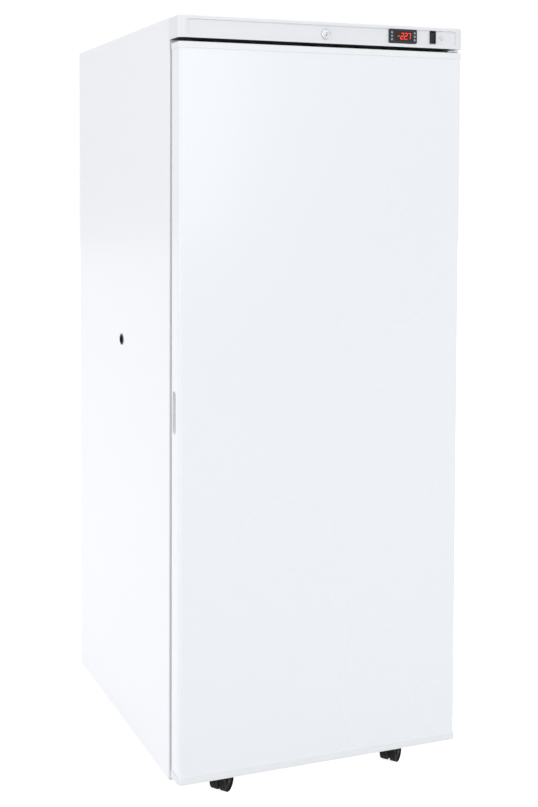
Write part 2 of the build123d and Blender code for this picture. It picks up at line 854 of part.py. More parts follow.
# Grip cup: a moulded pocket in the left edge of the door, narrowing inwards.
with BuildPart() as grip_cup:
    with BuildSketch(Plane.YZ.offset(-skin_half)):
        with Locations((grip_mid_y, grip_mid_z)):
            SlotOverall(grip_height, grip_width - grip_trim, rotation=90)
    extrude(amount=grip_depth)
    with BuildSketch(Plane.YZ.offset(-skin_half)):
        with Locations((grip_mid_y, grip_mid_z)):
            SlotOverall(grip_height - 2 * grip_wall, grip_width - 2 * grip_wall, rotation=90)
    extrude(amount=grip_depth - grip_wall, taper=grip_draft, mode=Mode.SUBTRACT)
save(grip_cup, "grip_cup")

# Door liner: a moulded inner sheet with a raised middle that stands into the mouth of the cabinet.
plateau_half = cavity_half - plateau_margin
plateau_bottom = cavity_floor + plateau_margin
plateau_top = cavity_roof - plateau_margin
plateau_mid_z = (plateau_bottom + plateau_top) / 2
plateau_tall = plateau_top - plateau_bottom


def plateau_block(start_y, wall):
    # the raised middle of the door liner, or the space inside it when the wall is taken off
    with BuildPart() as block:
        with BuildSketch(front_plane(start_y)):
            with Locations((0, plateau_mid_z)):
                RectangleRounded(2 * (plateau_half - wall), plateau_tall - 2 * wall, cavity_edge_radius - wall)
        extrude(amount=start_y - door_back_y - plateau_height + wall)
        fillet(block.faces().sort_by(Axis.Y)[-1].edges(), plateau_edge_radius - wall)
    return block.part


plateau_outside = plateau_block(door_back_y, 0)
plateau_inside = plateau_block(door_liner_front_y, door_liner_sheet)
with BuildPart() as door_liner:
    with BuildSketch(front_plane(door_back_y)):
        with Locations((0, (skin_bottom + skin_top) / 2)):
            Rectangle(2 * skin_half, skin_top - skin_bottom)
    extrude(amount=door_liner_sheet)
    add(plateau_outside)
    add(plateau_inside, mode=Mode.SUBTRACT)
save(door_liner, "door_liner")

# Door foam: fills the door between the skin, the liner and the caps.
with BuildPart() as door_foam:
    with BuildSketch(Plane.XY.offset(skin_bottom)):
        add(skin_inside.sketch)
        with Locations((0, door_back_y)):
            Rectangle(2 * skin_half, 2 * door_liner_sheet, mode=Mode.SUBTRACT)
    extrude(amount=skin_top - skin_bottom)
    add(plateau_inside)
    with BuildSketch(Plane.YZ.offset(-skin_half)):
        with Locations((grip_mid_y, grip_mid_z)):
            SlotOverall(grip_height, grip_width - grip_trim, rotation=90)
    extrude(amount=grip_depth, mode=Mode.SUBTRACT)
save(door_foam, "door_foam")

# Door end caps: mouldings that close the top and bottom of the door and hold the hinge bushes. The
# top one has a pocket that takes the lock's cam.
bush_radius = pin_radius + pin_clearance + bush_wall
bush_depth = pin_length + cap_shelf
cap_depth = door_back_y - front_y
for cap_name, cap_z, cap_height in (
    ("door_top_cap", skin_top, top_cap_height),
    ("door_bottom_cap", door_bottom, bottom_cap_height),
):
    is_top = cap_name == "door_top_cap"
    with BuildPart() as door_cap:
        with BuildSketch(Plane.XY.offset(cap_z)) as cap_profile:
            with Locations((0, front_y + cap_depth / 2)):
                Rectangle(2 * cap_half, cap_depth)
            fillet(cap_profile.vertices().group_by(Axis.Y)[0], door_edge_radius + cap_proud)
        extrude(amount=cap_height)
        outer_face = door_cap.faces().sort_by(Axis.Z)[-1 if is_top else 0]
        fillet(outer_face.edges(), cap_edge_radius)
        mouth_z = door_top if is_top else door_bottom
        inwards = -1 if is_top else 1
        with BuildSketch(Plane.XY.offset(mouth_z)):
            with Locations((hinge_x, hinge_y)):
                Circle(bush_radius)
        extrude(amount=inwards * bush_depth, mode=Mode.SUBTRACT)
        if is_top:
            with BuildSketch(Plane.XY.offset(door_top)):
                with Locations(((cam_slot_left + cam_slot_right) / 2, cam_slot_y)):
                    Rectangle(cam_slot_right - cam_slot_left, cam_slot_depth)
            extrude(amount=-(cam_reach + cam_clearance - (lock_z - door_top)), mode=Mode.SUBTRACT)
    save(door_cap, cap_name)

# Door gasket: a frame with a fixed base, a narrow bellows and a magnet bar that meets the cabinet.
gasket_bar_y = face_y - gasket_clearance
gasket_base_y = door_back_y + gasket_base_depth
gasket_bellows_y = gasket_base_y + gasket_bellows_depth
gasket_layers = (
    (door_back_y, gasket_base_y, 0.0),
    (gasket_base_y, gasket_bellows_y, gasket_waist),
    (gasket_bellows_y, gasket_bar_y, gasket_bar_inset),
)
gasket_half = skin_half - gasket_inset
gasket_low = door_bottom + gasket_end_margin
gasket_high = door_top - gasket_end_margin
with BuildPart() as door_gasket:
    for layer_start, layer_end, waist in gasket_layers:
        with BuildSketch(front_plane(layer_start)):
            with Locations((0, (gasket_low + gasket_high) / 2)):
                Rectangle(2 * (gasket_half - waist), gasket_high - gasket_low - 2 * waist)
                Rectangle(
                    2 * (gasket_half - gasket_width + waist),
                    gasket_high - gasket_low - 2 * (gasket_width - waist),
                    mode=Mode.SUBTRACT,
                )
        extrude(amount=layer_start - layer_end)
save(door_gasket, "door_gasket")

# Hinge brackets with their welded pins. The upper one is an angle screwed to the front of the cabinet
# inside the hood, the lower one is a cranked plate that is screwed under the base pan.
top_plate_z = door_top + bush_flange + bush_clearance
bottom_plate_z = door_bottom - bush_flange - bush_clearance - hinge_plate
nose_y = hinge_y - hinge_nose
plate_depth = face_y - nose_y
with BuildPart() as hinge_brackets:
    for plate_z in (top_plate_z, bottom_plate_z):
        with BuildSketch(Plane.XY.offset(plate_z)) as plate_profile:
            with Locations((bracket_x, nose_y + plate_depth / 2)):
                Rectangle(hinge_width, plate_depth)
            fillet(plate_profile.vertices().group_by(Axis.Y)[0], hinge_corner_radius)
        extrude(amount=hinge_plate)
    with BuildSketch(front_plane(face_y)):
        with Locations((bracket_x, top_plate_z + hinge_leg / 2)):
            Rectangle(hinge_width, hinge_leg)
        lower_leg = bottom_plate_z + hinge_plate - base_z + hinge_plate
        with Locations((bracket_x, base_z - hinge_plate + lower_leg / 2)):
            Rectangle(hinge_width, lower_leg)
    extrude(amount=hinge_plate)
    with BuildSketch(Plane.XY.offset(base_z - hinge_plate)):
        with Locations((bracket_x, bracket_back_y + hinge_foot / 2)):
            Rectangle(hinge_width, hinge_foot)
    extrude(amount=hinge_plate)
    with BuildSketch(Plane.XY.offset(top_plate_z)):
        with Locations((hinge_x, hinge_y)):
            Circle(pin_radius)
    extrude(amount=-pin_length - bush_flange - bush_clearance + cap_shelf)
    with BuildSketch(Plane.XY.offset(bottom_plate_z + hinge_plate)):
        with Locations((hinge_x, hinge_y)):
            Circle(pin_radius)
    extrude(amount=pin_length + bush_flange + bush_clearance - cap_shelf)
save(hinge_brackets, "hinge_brackets")

# Hinge bushes: flanged sleeves pressed into the door caps.
with BuildPart() as hinge_bushes:
    for mouth_z, outwards in ((door_top, 1), (door_bottom, -1)):
        with BuildSketch(Plane.XY.offset(mouth_z)):
            with Locations((hinge_x, hinge_y)):
                Circle(bush_flange_radius)
        extrude(amount=outwards * bush_flange)
        with BuildSketch(Plane.XY.offset(mouth_z)):
            with Locations((hinge_x, hinge_y)):
                Circle(bush_radius)
        extrude(amount=-outwards * bush_depth)
        with BuildSketch(Plane.XY.offset(mouth_z + outwards * bush_flange)):
            with Locations((hinge_x, hinge_y)):
                Circle(pin_radius + pin_clearance)
        extrude(amount=-outwards * (bush_flange + bush_depth), mode=Mode.SUBTRACT)
save(hinge_bushes, "hinge_bushes")

# Condenser: one long bent tube with wires on both sides, standing off the back panel.
condenser_y = back_y + condenser_stand
condenser_half_width = cabinet_half - condenser_inset
condenser_top = condenser_bottom + (condenser_runs - 1) * condenser_pitch
condenser_wire_pitch = 2 * (condenser_half_width - condenser_wire_inset) / (condenser_wires - 1)
condenser_tall = condenser_top - condenser_bottom + 2 * condenser_wire_overhang
condenser_plane = Plane(origin=(0, condenser_y, 0), x_dir=(1, 0, 0), z_dir=(0, -1, 0))
with BuildPart() as condenser_coil:
    with BuildLine(condenser_plane) as condenser_line:
        for run in range(condenser_runs):
            run_z = condenser_bottom + run * condenser_pitch
            Line((-condenser_half_width, run_z), (condenser_half_width, run_z))
            if run == condenser_runs - 1:
                break
            bends_right = run % 2 == 0
            bend_x = condenser_half_width if bends_right else -condenser_half_width
            start_angle = -90 if bends_right else 90
            CenterArc((bend_x, run_z + condenser_pitch / 2), condenser_pitch / 2, start_angle, 180)
    condenser_path = condenser_line.wire()
    with BuildSketch(Plane(condenser_path @ 0, z_dir=condenser_path % 0)):
        Circle(condenser_tube_radius)
    sweep(path=condenser_path)
    for wire_y in (condenser_y - condenser_tube_radius, condenser_y + condenser_tube_radius + condenser_wire):
        with BuildSketch(front_plane(wire_y)):
            with Locations((0, (condenser_bottom + condenser_top) / 2)):
                with GridLocations(condenser_wire_pitch, 0, condenser_wires, 1):
                    Rectangle(condenser_wire, condenser_tall)
        extrude(amount=condenser_wire)
save(condenser_coil, "condenser_coil")

# Four folded clips hold the condenser off the back panel.
bracket_depth = condenser_stand - condenser_tube_radius - condenser_wire
bracket_side = condenser_half_width - bracket_inset
with BuildPart() as condenser_brackets:
    for bracket_z in (condenser_bottom + condenser_pitch / 2, condenser_top - condenser_pitch / 2):
        for side in (-1, 1):
            with BuildSketch(front_plane(back_y)):
                with Locations((side * bracket_side, bracket_z)):
                    Rectangle(bracket_width, bracket_height)
            extrude(amount=-bracket_depth)
            with BuildSketch(front_plane(back_y)):
                with Locations((side * bracket_side, bracket_z)):
                    Rectangle(bracket_width, bracket_height - 2 * bracket_sheet)
            extrude(amount=bracket_sheet - bracket_depth, mode=Mode.SUBTRACT)
save(condenser_brackets, "condenser_brackets")

# Compressor: a welded pot and dome on a foot plate that stands on four rubber mounts.
compressor_x = cabinet_half - compressor_inset
compressor_y = bay_front + compressor_behind_bay_front
mount_places = [
    (compressor_x + x * (foot_width / 2 - mount_inset), compressor_y + y * (foot_depth / 2 - mount_inset))
    for x in (-1, 1)
    for y in (-1, 1)
]
foot_z = floor_top + mount_height
pot_z = foot_z + foot_sheet
lip_top = pot_height + weld_lip_height
dome_top = lip_top + dome_height
with BuildPart() as compressor_mounts:
    for mount_place in mount_places:
        with BuildSketch(Plane.XY.offset(floor_top)):
            with Locations(mount_place):
                Circle(mount_radius)
        extrude(amount=mount_height, taper=mount_draft)
save(compressor_mounts, "compressor_mounts")

with BuildPart() as compressor:
    with BuildSketch(Plane.XY.offset(foot_z)):
        with Locations((compressor_x, compressor_y)):
            RectangleRounded(foot_width, foot_depth, foot_corner_radius)
    extrude(amount=foot_sheet)
    shell_plane = Plane(origin=(compressor_x, compressor_y, pot_z), x_dir=(1, 0, 0), z_dir=(0, -1, 0))
    with BuildSketch(shell_plane) as shell_profile:
        with BuildLine():
            Polyline(
                (0, 0),
                (pot_radius, 0),
                (pot_radius, pot_height),
                (pot_radius + weld_lip, pot_height),
                (pot_radius + weld_lip, lip_top),
                (pot_radius, lip_top),
                (pot_radius, dome_top - dome_rise),
                (0, dome_top),
                close=True,
            )
        make_face()
        fillet(shell_profile.vertices().sort_by_distance((pot_radius, 0))[0], pot_corner_radius)
        fillet(shell_profile.vertices().sort_by_distance((pot_radius, dome_top - dome_rise))[0], dome_radius)
    revolve(axis=Axis((compressor_x, compressor_y, 0), (0, 0, 1)))
save(compressor, "compressor")

# Relay cover on the side of the compressor.
relay_x = compressor_x - pot_radius - relay_width / 2 + relay_lap
relay_z = pot_z + relay_lift
with BuildPart() as relay_cover:
    with BuildSketch(Plane.XY.offset(relay_z)):
        with Locations((relay_x, compressor_y)):
            Rectangle(relay_width, relay_depth)
        with Locations((compressor_x, compressor_y)):
            Circle(pot_radius, mode=Mode.SUBTRACT)
    extrude(amount=relay_height)
    fillet(relay_cover.edges().filter_by(Axis.Z).group_by(Axis.X)[0], relay_radius)
    fillet(relay_cover.faces().sort_by(Axis.Z)[-1].edges().sort_by(Axis.X)[0], relay_top_radius)
save(relay_cover, "relay_cover")

# Condensate tray: an open pan that sits on the warm dome of the compressor.
tray_z = pot_z + dome_top
with BuildPart() as condensate_tray:
    with BuildSketch(Plane.XY.offset(tray_z)):
        with Locations((compressor_x, compressor_y)):
            RectangleRounded(tray_width, tray_depth, foot_corner_radius)
    extrude(amount=tray_height)
    with BuildSketch(Plane.XY.offset(tray_z + tray_wall)):
        with Locations((compressor_x, compressor_y)):
            RectangleRounded(
                tray_width - 2 * tray_wall, tray_depth - 2 * tray_wall, foot_corner_radius - tray_wall
            )
    extrude(amount=tray_height, mode=Mode.SUBTRACT)
save(condensate_tray, "condensate_tray")

# Filter drier: a spun copper can, standing at the foot of the condenser.
collar_radius = drier_neck_radius + drier_collar_wall
with BuildPart() as filter_drier:
    with BuildSketch(Plane(origin=(drier_x, condenser_y, drier_z), x_dir=(1, 0, 0), z_dir=(0, -1, 0))):
        with BuildLine():
            Polyline(
                (0, 0),
                (collar_radius, 0),
                (collar_radius, drier_collar),
                (drier_radius, drier_taper),
                (drier_radius, drier_length - drier_taper),
                (collar_radius, drier_length - drier_collar),
                (collar_radius, drier_length),
                (0, drier_length),
                close=True,
            )
        make_face()
    revolve(axis=Axis((drier_x, condenser_y, 0), (0, 0, 1)))
save(filter_drier, "filter_drier")

# Refrigerant lines: hot gas from the compressor to the condenser, liquid from the condenser to the
# drier, the capillary from the drier to the evaporator, and suction back to the compressor.
line_port_z = pot_z + line_port_height
discharge_near_x = compressor_x + pot_radius + discharge_reach
discharge_far_x = condenser_half_width + condenser_pitch / 2 + discharge_side_gap
return_x = -condenser_half_width - return_reach
return_z = drier_z + drier_length + above_drier
capillary_x = drier_x + capillary_shift
capillary_low_z = drier_z - below_drier
capillary_z = bay_top - capillary_below_roof
suction_y = bay_front + suction_gap
suction_z = line_port_z + suction_rise
line_routes = (
    [
        (compressor_x + pot_radius, compressor_y, line_port_z),
        (discharge_near_x, compressor_y, line_port_z),
        (discharge_near_x, condenser_y, line_port_z),
        (discharge_far_x, condenser_y, line_port_z),
        (discharge_far_x, condenser_y, condenser_top),
        (condenser_half_width, condenser_y, condenser_top),
    ],
    [
        (-condenser_half_width, condenser_y, condenser_bottom),
        (return_x, condenser_y, condenser_bottom),
        (return_x, condenser_y, return_z),
        (drier_x, condenser_y, return_z),
        (drier_x, condenser_y, drier_z + drier_length),
    ],
    [
        (drier_x, condenser_y, drier_z),
        (drier_x, condenser_y, capillary_low_z),
        (capillary_x, condenser_y, capillary_low_z),
        (capillary_x, condenser_y, capillary_z),
        (capillary_x, bay_front, capillary_z),
    ],
    [
        (compressor_x, compressor_y - pot_radius, line_port_z),
        (compressor_x, suction_y, line_port_z),
        (compressor_x, suction_y, suction_z),
        (compressor_x, bay_front, suction_z),
    ],
)
with BuildPart() as refrigerant_lines:
    for line_route in line_routes:
        with BuildLine() as line_curve:
            FilletPolyline(*line_route, radius=line_bend)
        line_path = line_curve.wire()
        with BuildSketch(Plane(line_path @ 0, z_dir=line_path % 0)):
            Circle(line_radius)
        sweep(path=line_path)
save(refrigerant_lines, "refrigerant_lines")

# Power inlet: a moulded box in the left rear corner of the bay with a three-pin socket facing back.
inlet_back_y = rear_y - rear_return
inlet_x = -inner_half + inlet_side_gap + inlet_width / 2
with BuildPart() as power_inlet:
    with BuildSketch(Plane.XY.offset(floor_top)):
        with Locations((inlet_x, inlet_back_y - inlet_depth / 2)):
            Rectangle(inlet_width, inlet_depth)
    extrude(amount=inlet_height)
    socket_z = floor_top + inlet_height / 2
    with BuildSketch(front_plane(inlet_back_y)) as socket_profile:
        with Locations((inlet_x, socket_z)):
            Rectangle(socket_width, socket_height)
        chamfer(socket_profile.vertices().group_by(Axis.Z)[-1], socket_corner)
    extrude(amount=socket_depth, mode=Mode.SUBTRACT)
    with BuildSketch(front_plane(inlet_back_y - socket_depth)):
        with Locations((inlet_x, socket_z)):
            with GridLocations(contact_pitch, 0, contact_count, 1):
                Rectangle(contact_width, contact_height)
    extrude(amount=-contact_length)
save(power_inlet, "power_inlet")

# Castors: each has a plate with a riveted kingpin, a moulded housing that swivels on it, and a pair of
# wheels on one axle.
castor_x = cabinet_half - castor_inset
castor_places = [
    (-castor_x, front_y + castor_front),
    (castor_x, front_y + castor_front),
    (-castor_x, rear_y - castor_back),
    (castor_x, rear_y - castor_back),
]
plate_z = base_z - castor_plate
with BuildPart() as castor_plates:
    for castor_place in castor_places:
        with BuildSketch(Plane.XY.offset(plate_z)):
            with Locations(castor_place):
                RectangleRounded(castor_plate_size, castor_plate_size, castor_plate_radius)
        extrude(amount=castor_plate)
        with BuildSketch(Plane.XY.offset(plate_z)):
            with Locations(castor_place):
                Circle(kingpin_radius)
        extrude(amount=-kingpin_reach)
save(castor_plates, "castor_plates")

roll_x = cos(radians(castor_yaw))
roll_y = sin(radians(castor_yaw))
wheel_start = web_thickness / 2 + wheel_gap
castor_half_width = wheel_start + wheel_width
fender_inner = wheel_radius + fender_gap
fender_outer = fender_inner + fender_wall
swivel_top = plate_z - swivel_gap
swivel_bottom = wheel_radius + fender_inner
for number, (place_x, place_y) in enumerate(castor_places, start=1):
    # the castor's own upright plane: its first axis is the way it rolls, its second is up
    hub_plane = Plane(
        origin=(place_x + castor_trail * roll_x, place_y + castor_trail * roll_y, wheel_radius),
        x_dir=(roll_x, roll_y, 0),
        z_dir=(roll_y, -roll_x, 0),
    )
    with BuildPart() as castor_housing:
        with BuildSketch(hub_plane):
            with BuildLine():
                CenterArc((0, 0), fender_outer, fender_start, fender_sweep)
                CenterArc((0, 0), fender_inner, fender_start, fender_sweep)
                for angle in (fender_start, fender_start + fender_sweep):
                    Line(
                        (fender_inner * cos(radians(angle)), fender_inner * sin(radians(angle))),
                        (fender_outer * cos(radians(angle)), fender_outer * sin(radians(angle))),
                    )
            make_face()
        extrude(amount=castor_half_width, both=True)
        with BuildSketch(hub_plane):
            Circle(fender_outer)
            with Locations((0, -fender_outer)):
                Rectangle(2 * fender_outer, fender_outer + swivel_radius, mode=Mode.SUBTRACT)
            Circle(web_radius)
        extrude(amount=web_thickness / 2, both=True)
        with BuildSketch(Plane.XY.offset(swivel_bottom)):
            with Locations((place_x, place_y)):
                Circle(swivel_radius)
        extrude(amount=swivel_top - swivel_bottom)
        with BuildSketch(Plane.XY.offset(swivel_top)):
            with Locations((place_x, place_y)):
                Circle(kingpin_radius + kingpin_clearance)
        extrude(amount=swivel_bottom - swivel_top, mode=Mode.SUBTRACT)
        with BuildSketch(hub_plane):
            Circle(axle_radius)
        extrude(amount=castor_half_width, both=True)
    save(castor_housing, f"castor_{number}_housing")
    with BuildPart() as castor_wheels:
        for outwards in (-1, 1):
            wheel_plane = hub_plane.offset(outwards * wheel_start)
            with BuildSketch(wheel_plane):
                Circle(wheel_radius)
                Circle(axle_radius + axle_clearance, mode=Mode.SUBTRACT)
            extrude(amount=outwards * wheel_width)
            with BuildSketch(hub_plane.offset(outwards * castor_half_width)):
                Circle(wheel_radius - tread_depth)
                Circle(hub_radius, mode=Mode.SUBTRACT)
            extrude(amount=-outwards * hub_dish, mode=Mode.SUBTRACT)
    save(castor_wheels, f"castor_{number}_wheels")
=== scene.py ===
from math import cos, pi, radians, sin

import bmesh
import bpy
from mathutils import Matrix, Vector


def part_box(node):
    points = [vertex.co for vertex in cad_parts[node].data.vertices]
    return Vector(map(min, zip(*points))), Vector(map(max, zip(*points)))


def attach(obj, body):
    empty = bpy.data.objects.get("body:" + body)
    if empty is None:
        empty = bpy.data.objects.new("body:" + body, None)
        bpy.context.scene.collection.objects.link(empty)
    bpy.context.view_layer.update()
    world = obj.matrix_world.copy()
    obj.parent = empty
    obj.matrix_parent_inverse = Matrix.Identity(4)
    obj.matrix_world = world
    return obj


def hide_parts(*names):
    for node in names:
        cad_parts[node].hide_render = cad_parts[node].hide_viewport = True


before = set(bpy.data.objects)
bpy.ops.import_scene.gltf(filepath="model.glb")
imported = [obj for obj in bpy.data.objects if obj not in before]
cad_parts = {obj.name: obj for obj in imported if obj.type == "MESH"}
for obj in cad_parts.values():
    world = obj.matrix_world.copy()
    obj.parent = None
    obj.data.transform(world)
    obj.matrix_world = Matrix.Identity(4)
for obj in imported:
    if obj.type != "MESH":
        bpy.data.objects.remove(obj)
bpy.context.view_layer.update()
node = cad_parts

# Camera: it stands in front of the freezer's left front corner, above the middle of its height, and
# looks slightly down. The shift is the photograph's own, because the picture is cropped off centre.
# All lengths in this file are in metres.
camera_place = (-1.35836, -3.02292, 1.48557)
camera_turn = 0.3335
camera_tilt = 0.0404
camera_lens = 53.4
camera_sensor = 36.0
camera_shift_x = 0.15
camera_shift_y = -0.2
camera_reach = 60.0

camera_data = bpy.data.cameras.new("camera")
camera_data.sensor_width = camera_sensor
camera_data.lens = camera_lens
camera_data.shift_x = camera_shift_x
camera_data.shift_y = camera_shift_y
camera_data.clip_end = camera_reach
camera = bpy.data.objects.new("camera", camera_data)
camera.location = camera_place
camera.rotation_euler = (pi / 2 - camera_tilt, 0.0, -camera_turn)
bpy.context.scene.collection.objects.link(camera)
bpy.context.scene.camera = camera

# Floor and light: a plain matt floor that looks white to the camera and still takes the soft shadow, a
# white room all round, and three large soft lamps that light the enamel at a plain level.
floor_size = 60.0
floor_drop = 0.0005
floor_colour = "#d9dadc"
floor_whitening = 0.86
floor_grain_scale = 40.0
floor_grain_octaves = 3.0
floor_roughness = (0.9, 0.96)
surround_colour = "#f4f5f7"
surround_strength = 0.84
plain_white = (1, 1, 1, 1)
white_strength = 1.0
middle_of_freezer = (0.0, 0.0, 0.9)
top_of_freezer = (0.0, 0.0, 1.6)
side_lamp_width = 3.0
left_lamp_place = (-4.6, -1.2, 2.2)
left_lamp_power = 42.0
front_lamp_place = (0.4, -5.2, 2.6)
front_lamp_power = 56.0
top_lamp_width = 2.4
top_lamp_place = (0.4, 0.6, 4.6)
top_lamp_power = 25.0


def linear(hex_colour):
    # an sRGB hex value as the linear colour that the shaders take
    parts = [int(hex_colour[place:place + 2], 16) / 255 for place in (1, 3, 5)]
    return [c / 12.92 if c <= 0.04045 else ((c + 0.055) / 1.055) ** 2.4 for c in parts] + [1.0]


def add_node(material, kind, settings=None, links=None):
    # one shader node, with its values and with the sockets that feed it
    new = material.node_tree.nodes.new(kind)
    for name, value in (settings or {}).items():
        if isinstance(name, int) or name in new.inputs:
            new.inputs[name].default_value = value
        else:
            setattr(new, name, value)
    for name, source in (links or {}).items():
        material.node_tree.links.new(source, new.inputs[name])
    return new


def new_material(name):
    # an empty material, ready for its nodes
    material = bpy.data.materials.new(name)
    material.use_nodes = True
    material.node_tree.nodes.clear()
    return material


def deselect():
    # nothing is selected and no mesh is open for editing
    if bpy.context.object and bpy.context.object.mode != "OBJECT":
        bpy.ops.object.mode_set(mode="OBJECT")
    bpy.ops.object.select_all(action="DESELECT")


def seen_as_white(tree_owner):
    # 1 for what the camera, a glossy surface or clear plastic sees, 0 for the light that falls on things
    path = add_node(tree_owner, "ShaderNodeLightPath")
    straight = add_node(
        tree_owner,
        "ShaderNodeMath",
        {"operation": "MAXIMUM"},
        {0: path.outputs["Is Camera Ray"], 1: path.outputs["Is Glossy Ray"]},
    )
    every = add_node(
        tree_owner,
        "ShaderNodeMath",
        {"operation": "MAXIMUM"},
        {0: straight.outputs["Value"], 1: path.outputs["Is Transmission Ray"]},
    )
    return every.outputs["Value"]


def soft_lamp(name, place, aim, width, power):
    # a square lamp in watts, turned towards a point on the freezer
    lamp_data = bpy.data.lights.new(name, "AREA")
    lamp_data.shape = "SQUARE"
    lamp_data.size = width
    lamp_data.energy = power
    lamp = bpy.data.objects.new(name, lamp_data)
    lamp.location = place
    lamp.rotation_euler = (Vector(aim) - Vector(place)).to_track_quat("-Z", "Y").to_euler()
    bpy.context.scene.collection.objects.link(lamp)


deselect()
bpy.ops.mesh.primitive_plane_add(size=floor_size, location=(0, 0, -floor_drop))
floor = bpy.context.object
floor.name = "floor"
floor_paint = new_material("matt_floor")
floor_grain = add_node(
    floor_paint, "ShaderNodeTexNoise", {"Scale": floor_grain_scale, "Detail": floor_grain_octaves}
)
floor_tone = add_node(
    floor_paint,
    "ShaderNodeMapRange",
    {"To Min": floor_roughness[0], "To Max": floor_roughness[1]},
    {"Value": floor_grain.outputs["Fac"]},
)
floor_rough = add_node(
    floor_paint,
    "ShaderNodeBsdfPrincipled",
    {"Base Color": linear(floor_colour)},
    {"Roughness": floor_tone.outputs["Result"]},
)
white_amount = add_node(
    floor_paint,
    "ShaderNodeMath",
    {"operation": "MULTIPLY", 1: floor_whitening},
    {0: seen_as_white(floor_paint)},
)
floor_white = add_node(
    floor_paint,
    "ShaderNodeEmission",
    {"Color": plain_white},
    {"Strength": white_amount.outputs["Value"]},
)
floor_sum = add_node(
    floor_paint,
    "ShaderNodeAddShader",
    None,
    {0: floor_rough.outputs["BSDF"], 1: floor_white.outputs["Emission"]},
)
add_node(floor_paint, "ShaderNodeOutputMaterial", None, {"Surface": floor_sum.outputs["Shader"]})
floor.data.materials.append(floor_paint)

world = bpy.data.worlds.new("studio")
bpy.context.scene.world = world
world.use_nodes = True
world.node_tree.nodes.clear()
world_soft = add_node(
    world, "ShaderNodeBackground", {"Color": linear(surround_colour), "Strength": surround_strength}
)
world_white = add_node(world, "ShaderNodeBackground", {"Color": plain_white, "Strength": white_strength})
world_mix = add_node(
    world,
    "ShaderNodeMixShader",
    None,
    {0: seen_as_white(world), 1: world_soft.outputs["Background"], 2: world_white.outputs["Background"]},
)
add_node(world, "ShaderNodeOutputWorld", None, {"Surface": world_mix.outputs["Shader"]})
soft_lamp("lamp_left", left_lamp_place, middle_of_freezer, side_lamp_width, left_lamp_power)
soft_lamp("lamp_front", front_lamp_place, middle_of_freezer, side_lamp_width, front_lamp_power)
soft_lamp("lamp_top", top_lamp_place, top_of_freezer, top_lamp_width, top_lamp_power)

# Steel case: two side panels, a flat top and the face round the mouth, folded from galvanised sheet
# and sprayed with white enamel that is baked on. It is smooth and half glossy, with the faint orange
# peel of a sprayed coat, 1.6 mm from dimple to dimple and 0.02 mm deep.
enamel_colour = "#f5f6f8"
enamel_shade = "#f1f2f5"
enamel_roughness = 0.3
enamel_ior = 1.5
enamel_coat = 0.25
enamel_coat_roughness = 0.12
orange_peel = 0.0016
orange_peel_height = 0.00002
orange_peel_strength = 0.25
enamel_octaves = 1.0
enamel_tone_scale = 1.1
enamel_tone_octaves = 0.0
enamel_smear_scale = 3.0
enamel_gloss_swing = 0.015


def enamel(name, colour, shade, roughness):
    # sprayed enamel: a slow change of tone, orange peel, and gloss that varies a little
    paint = new_material(name)
    place = add_node(paint, "ShaderNodeTexCoord")
    cloud = add_node(
        paint,
        "ShaderNodeTexNoise",
        {"Scale": enamel_tone_scale, "Detail": enamel_tone_octaves},
        {"Vector": place.outputs["Object"]},
    )
    tint = add_node(
        paint,
        "ShaderNodeMix",
        {"data_type": "RGBA", 6: linear(shade), 7: linear(colour)},
        {0: cloud.outputs["Fac"]},
    )
    ripple = add_node(
        paint,
        "ShaderNodeTexNoise",
        {"Scale": 1 / orange_peel, "Detail": enamel_octaves},
        {"Vector": place.outputs["Object"]},
    )
    bump = add_node(
        paint,
        "ShaderNodeBump",
        {"Strength": orange_peel_strength, "Distance": orange_peel_height},
        {"Height": ripple.outputs["Fac"]},
    )
    smear = add_node(
        paint,
        "ShaderNodeTexNoise",
        {"Scale": enamel_smear_scale, "Detail": enamel_octaves},
        {"Vector": place.outputs["Object"]},
    )
    gloss = add_node(
        paint,
        "ShaderNodeMapRange",
        {"To Min": roughness - enamel_gloss_swing, "To Max": roughness + enamel_gloss_swing},
        {"Value": smear.outputs["Fac"]},
    )
    shader = add_node(
        paint,
        "ShaderNodeBsdfPrincipled",
        {"IOR": enamel_ior, "Coat Weight": enamel_coat, "Coat Roughness": enamel_coat_roughness},
        {
            "Base Color": tint.outputs[2],
            "Roughness": gloss.outputs["Result"],
            "Normal": bump.outputs["Normal"],
        },
    )
    add_node(paint, "ShaderNodeOutputMaterial", None, {"Surface": shader.outputs["BSDF"]})
    return paint


def finish_nodes(material, *names):
    # a carried-over solid keeps its mesh and gets its material
    for name in names:
        node[name].data.materials.clear()
        node[name].data.materials.append(material)


case_enamel = enamel("baked_white_enamel", enamel_colour, enamel_shade, enamel_roughness)
finish_nodes(case_enamel, "left_side_panel", "right_side_panel", "top_panel", "front_frame")

# Back panel and base pan: galvanised sheet, folded and left bare. The zinc sets in flat crystals, the
# spangle, about 9 mm across, and each has its own slight tone and gloss.
spangle_size = 0.009
zinc_colour = "#b9bdc1"
zinc_dark = "#9ea3a8"
zinc_roughness = 0.42
duller_crystal = 0.1
brighter_crystal = 0.08


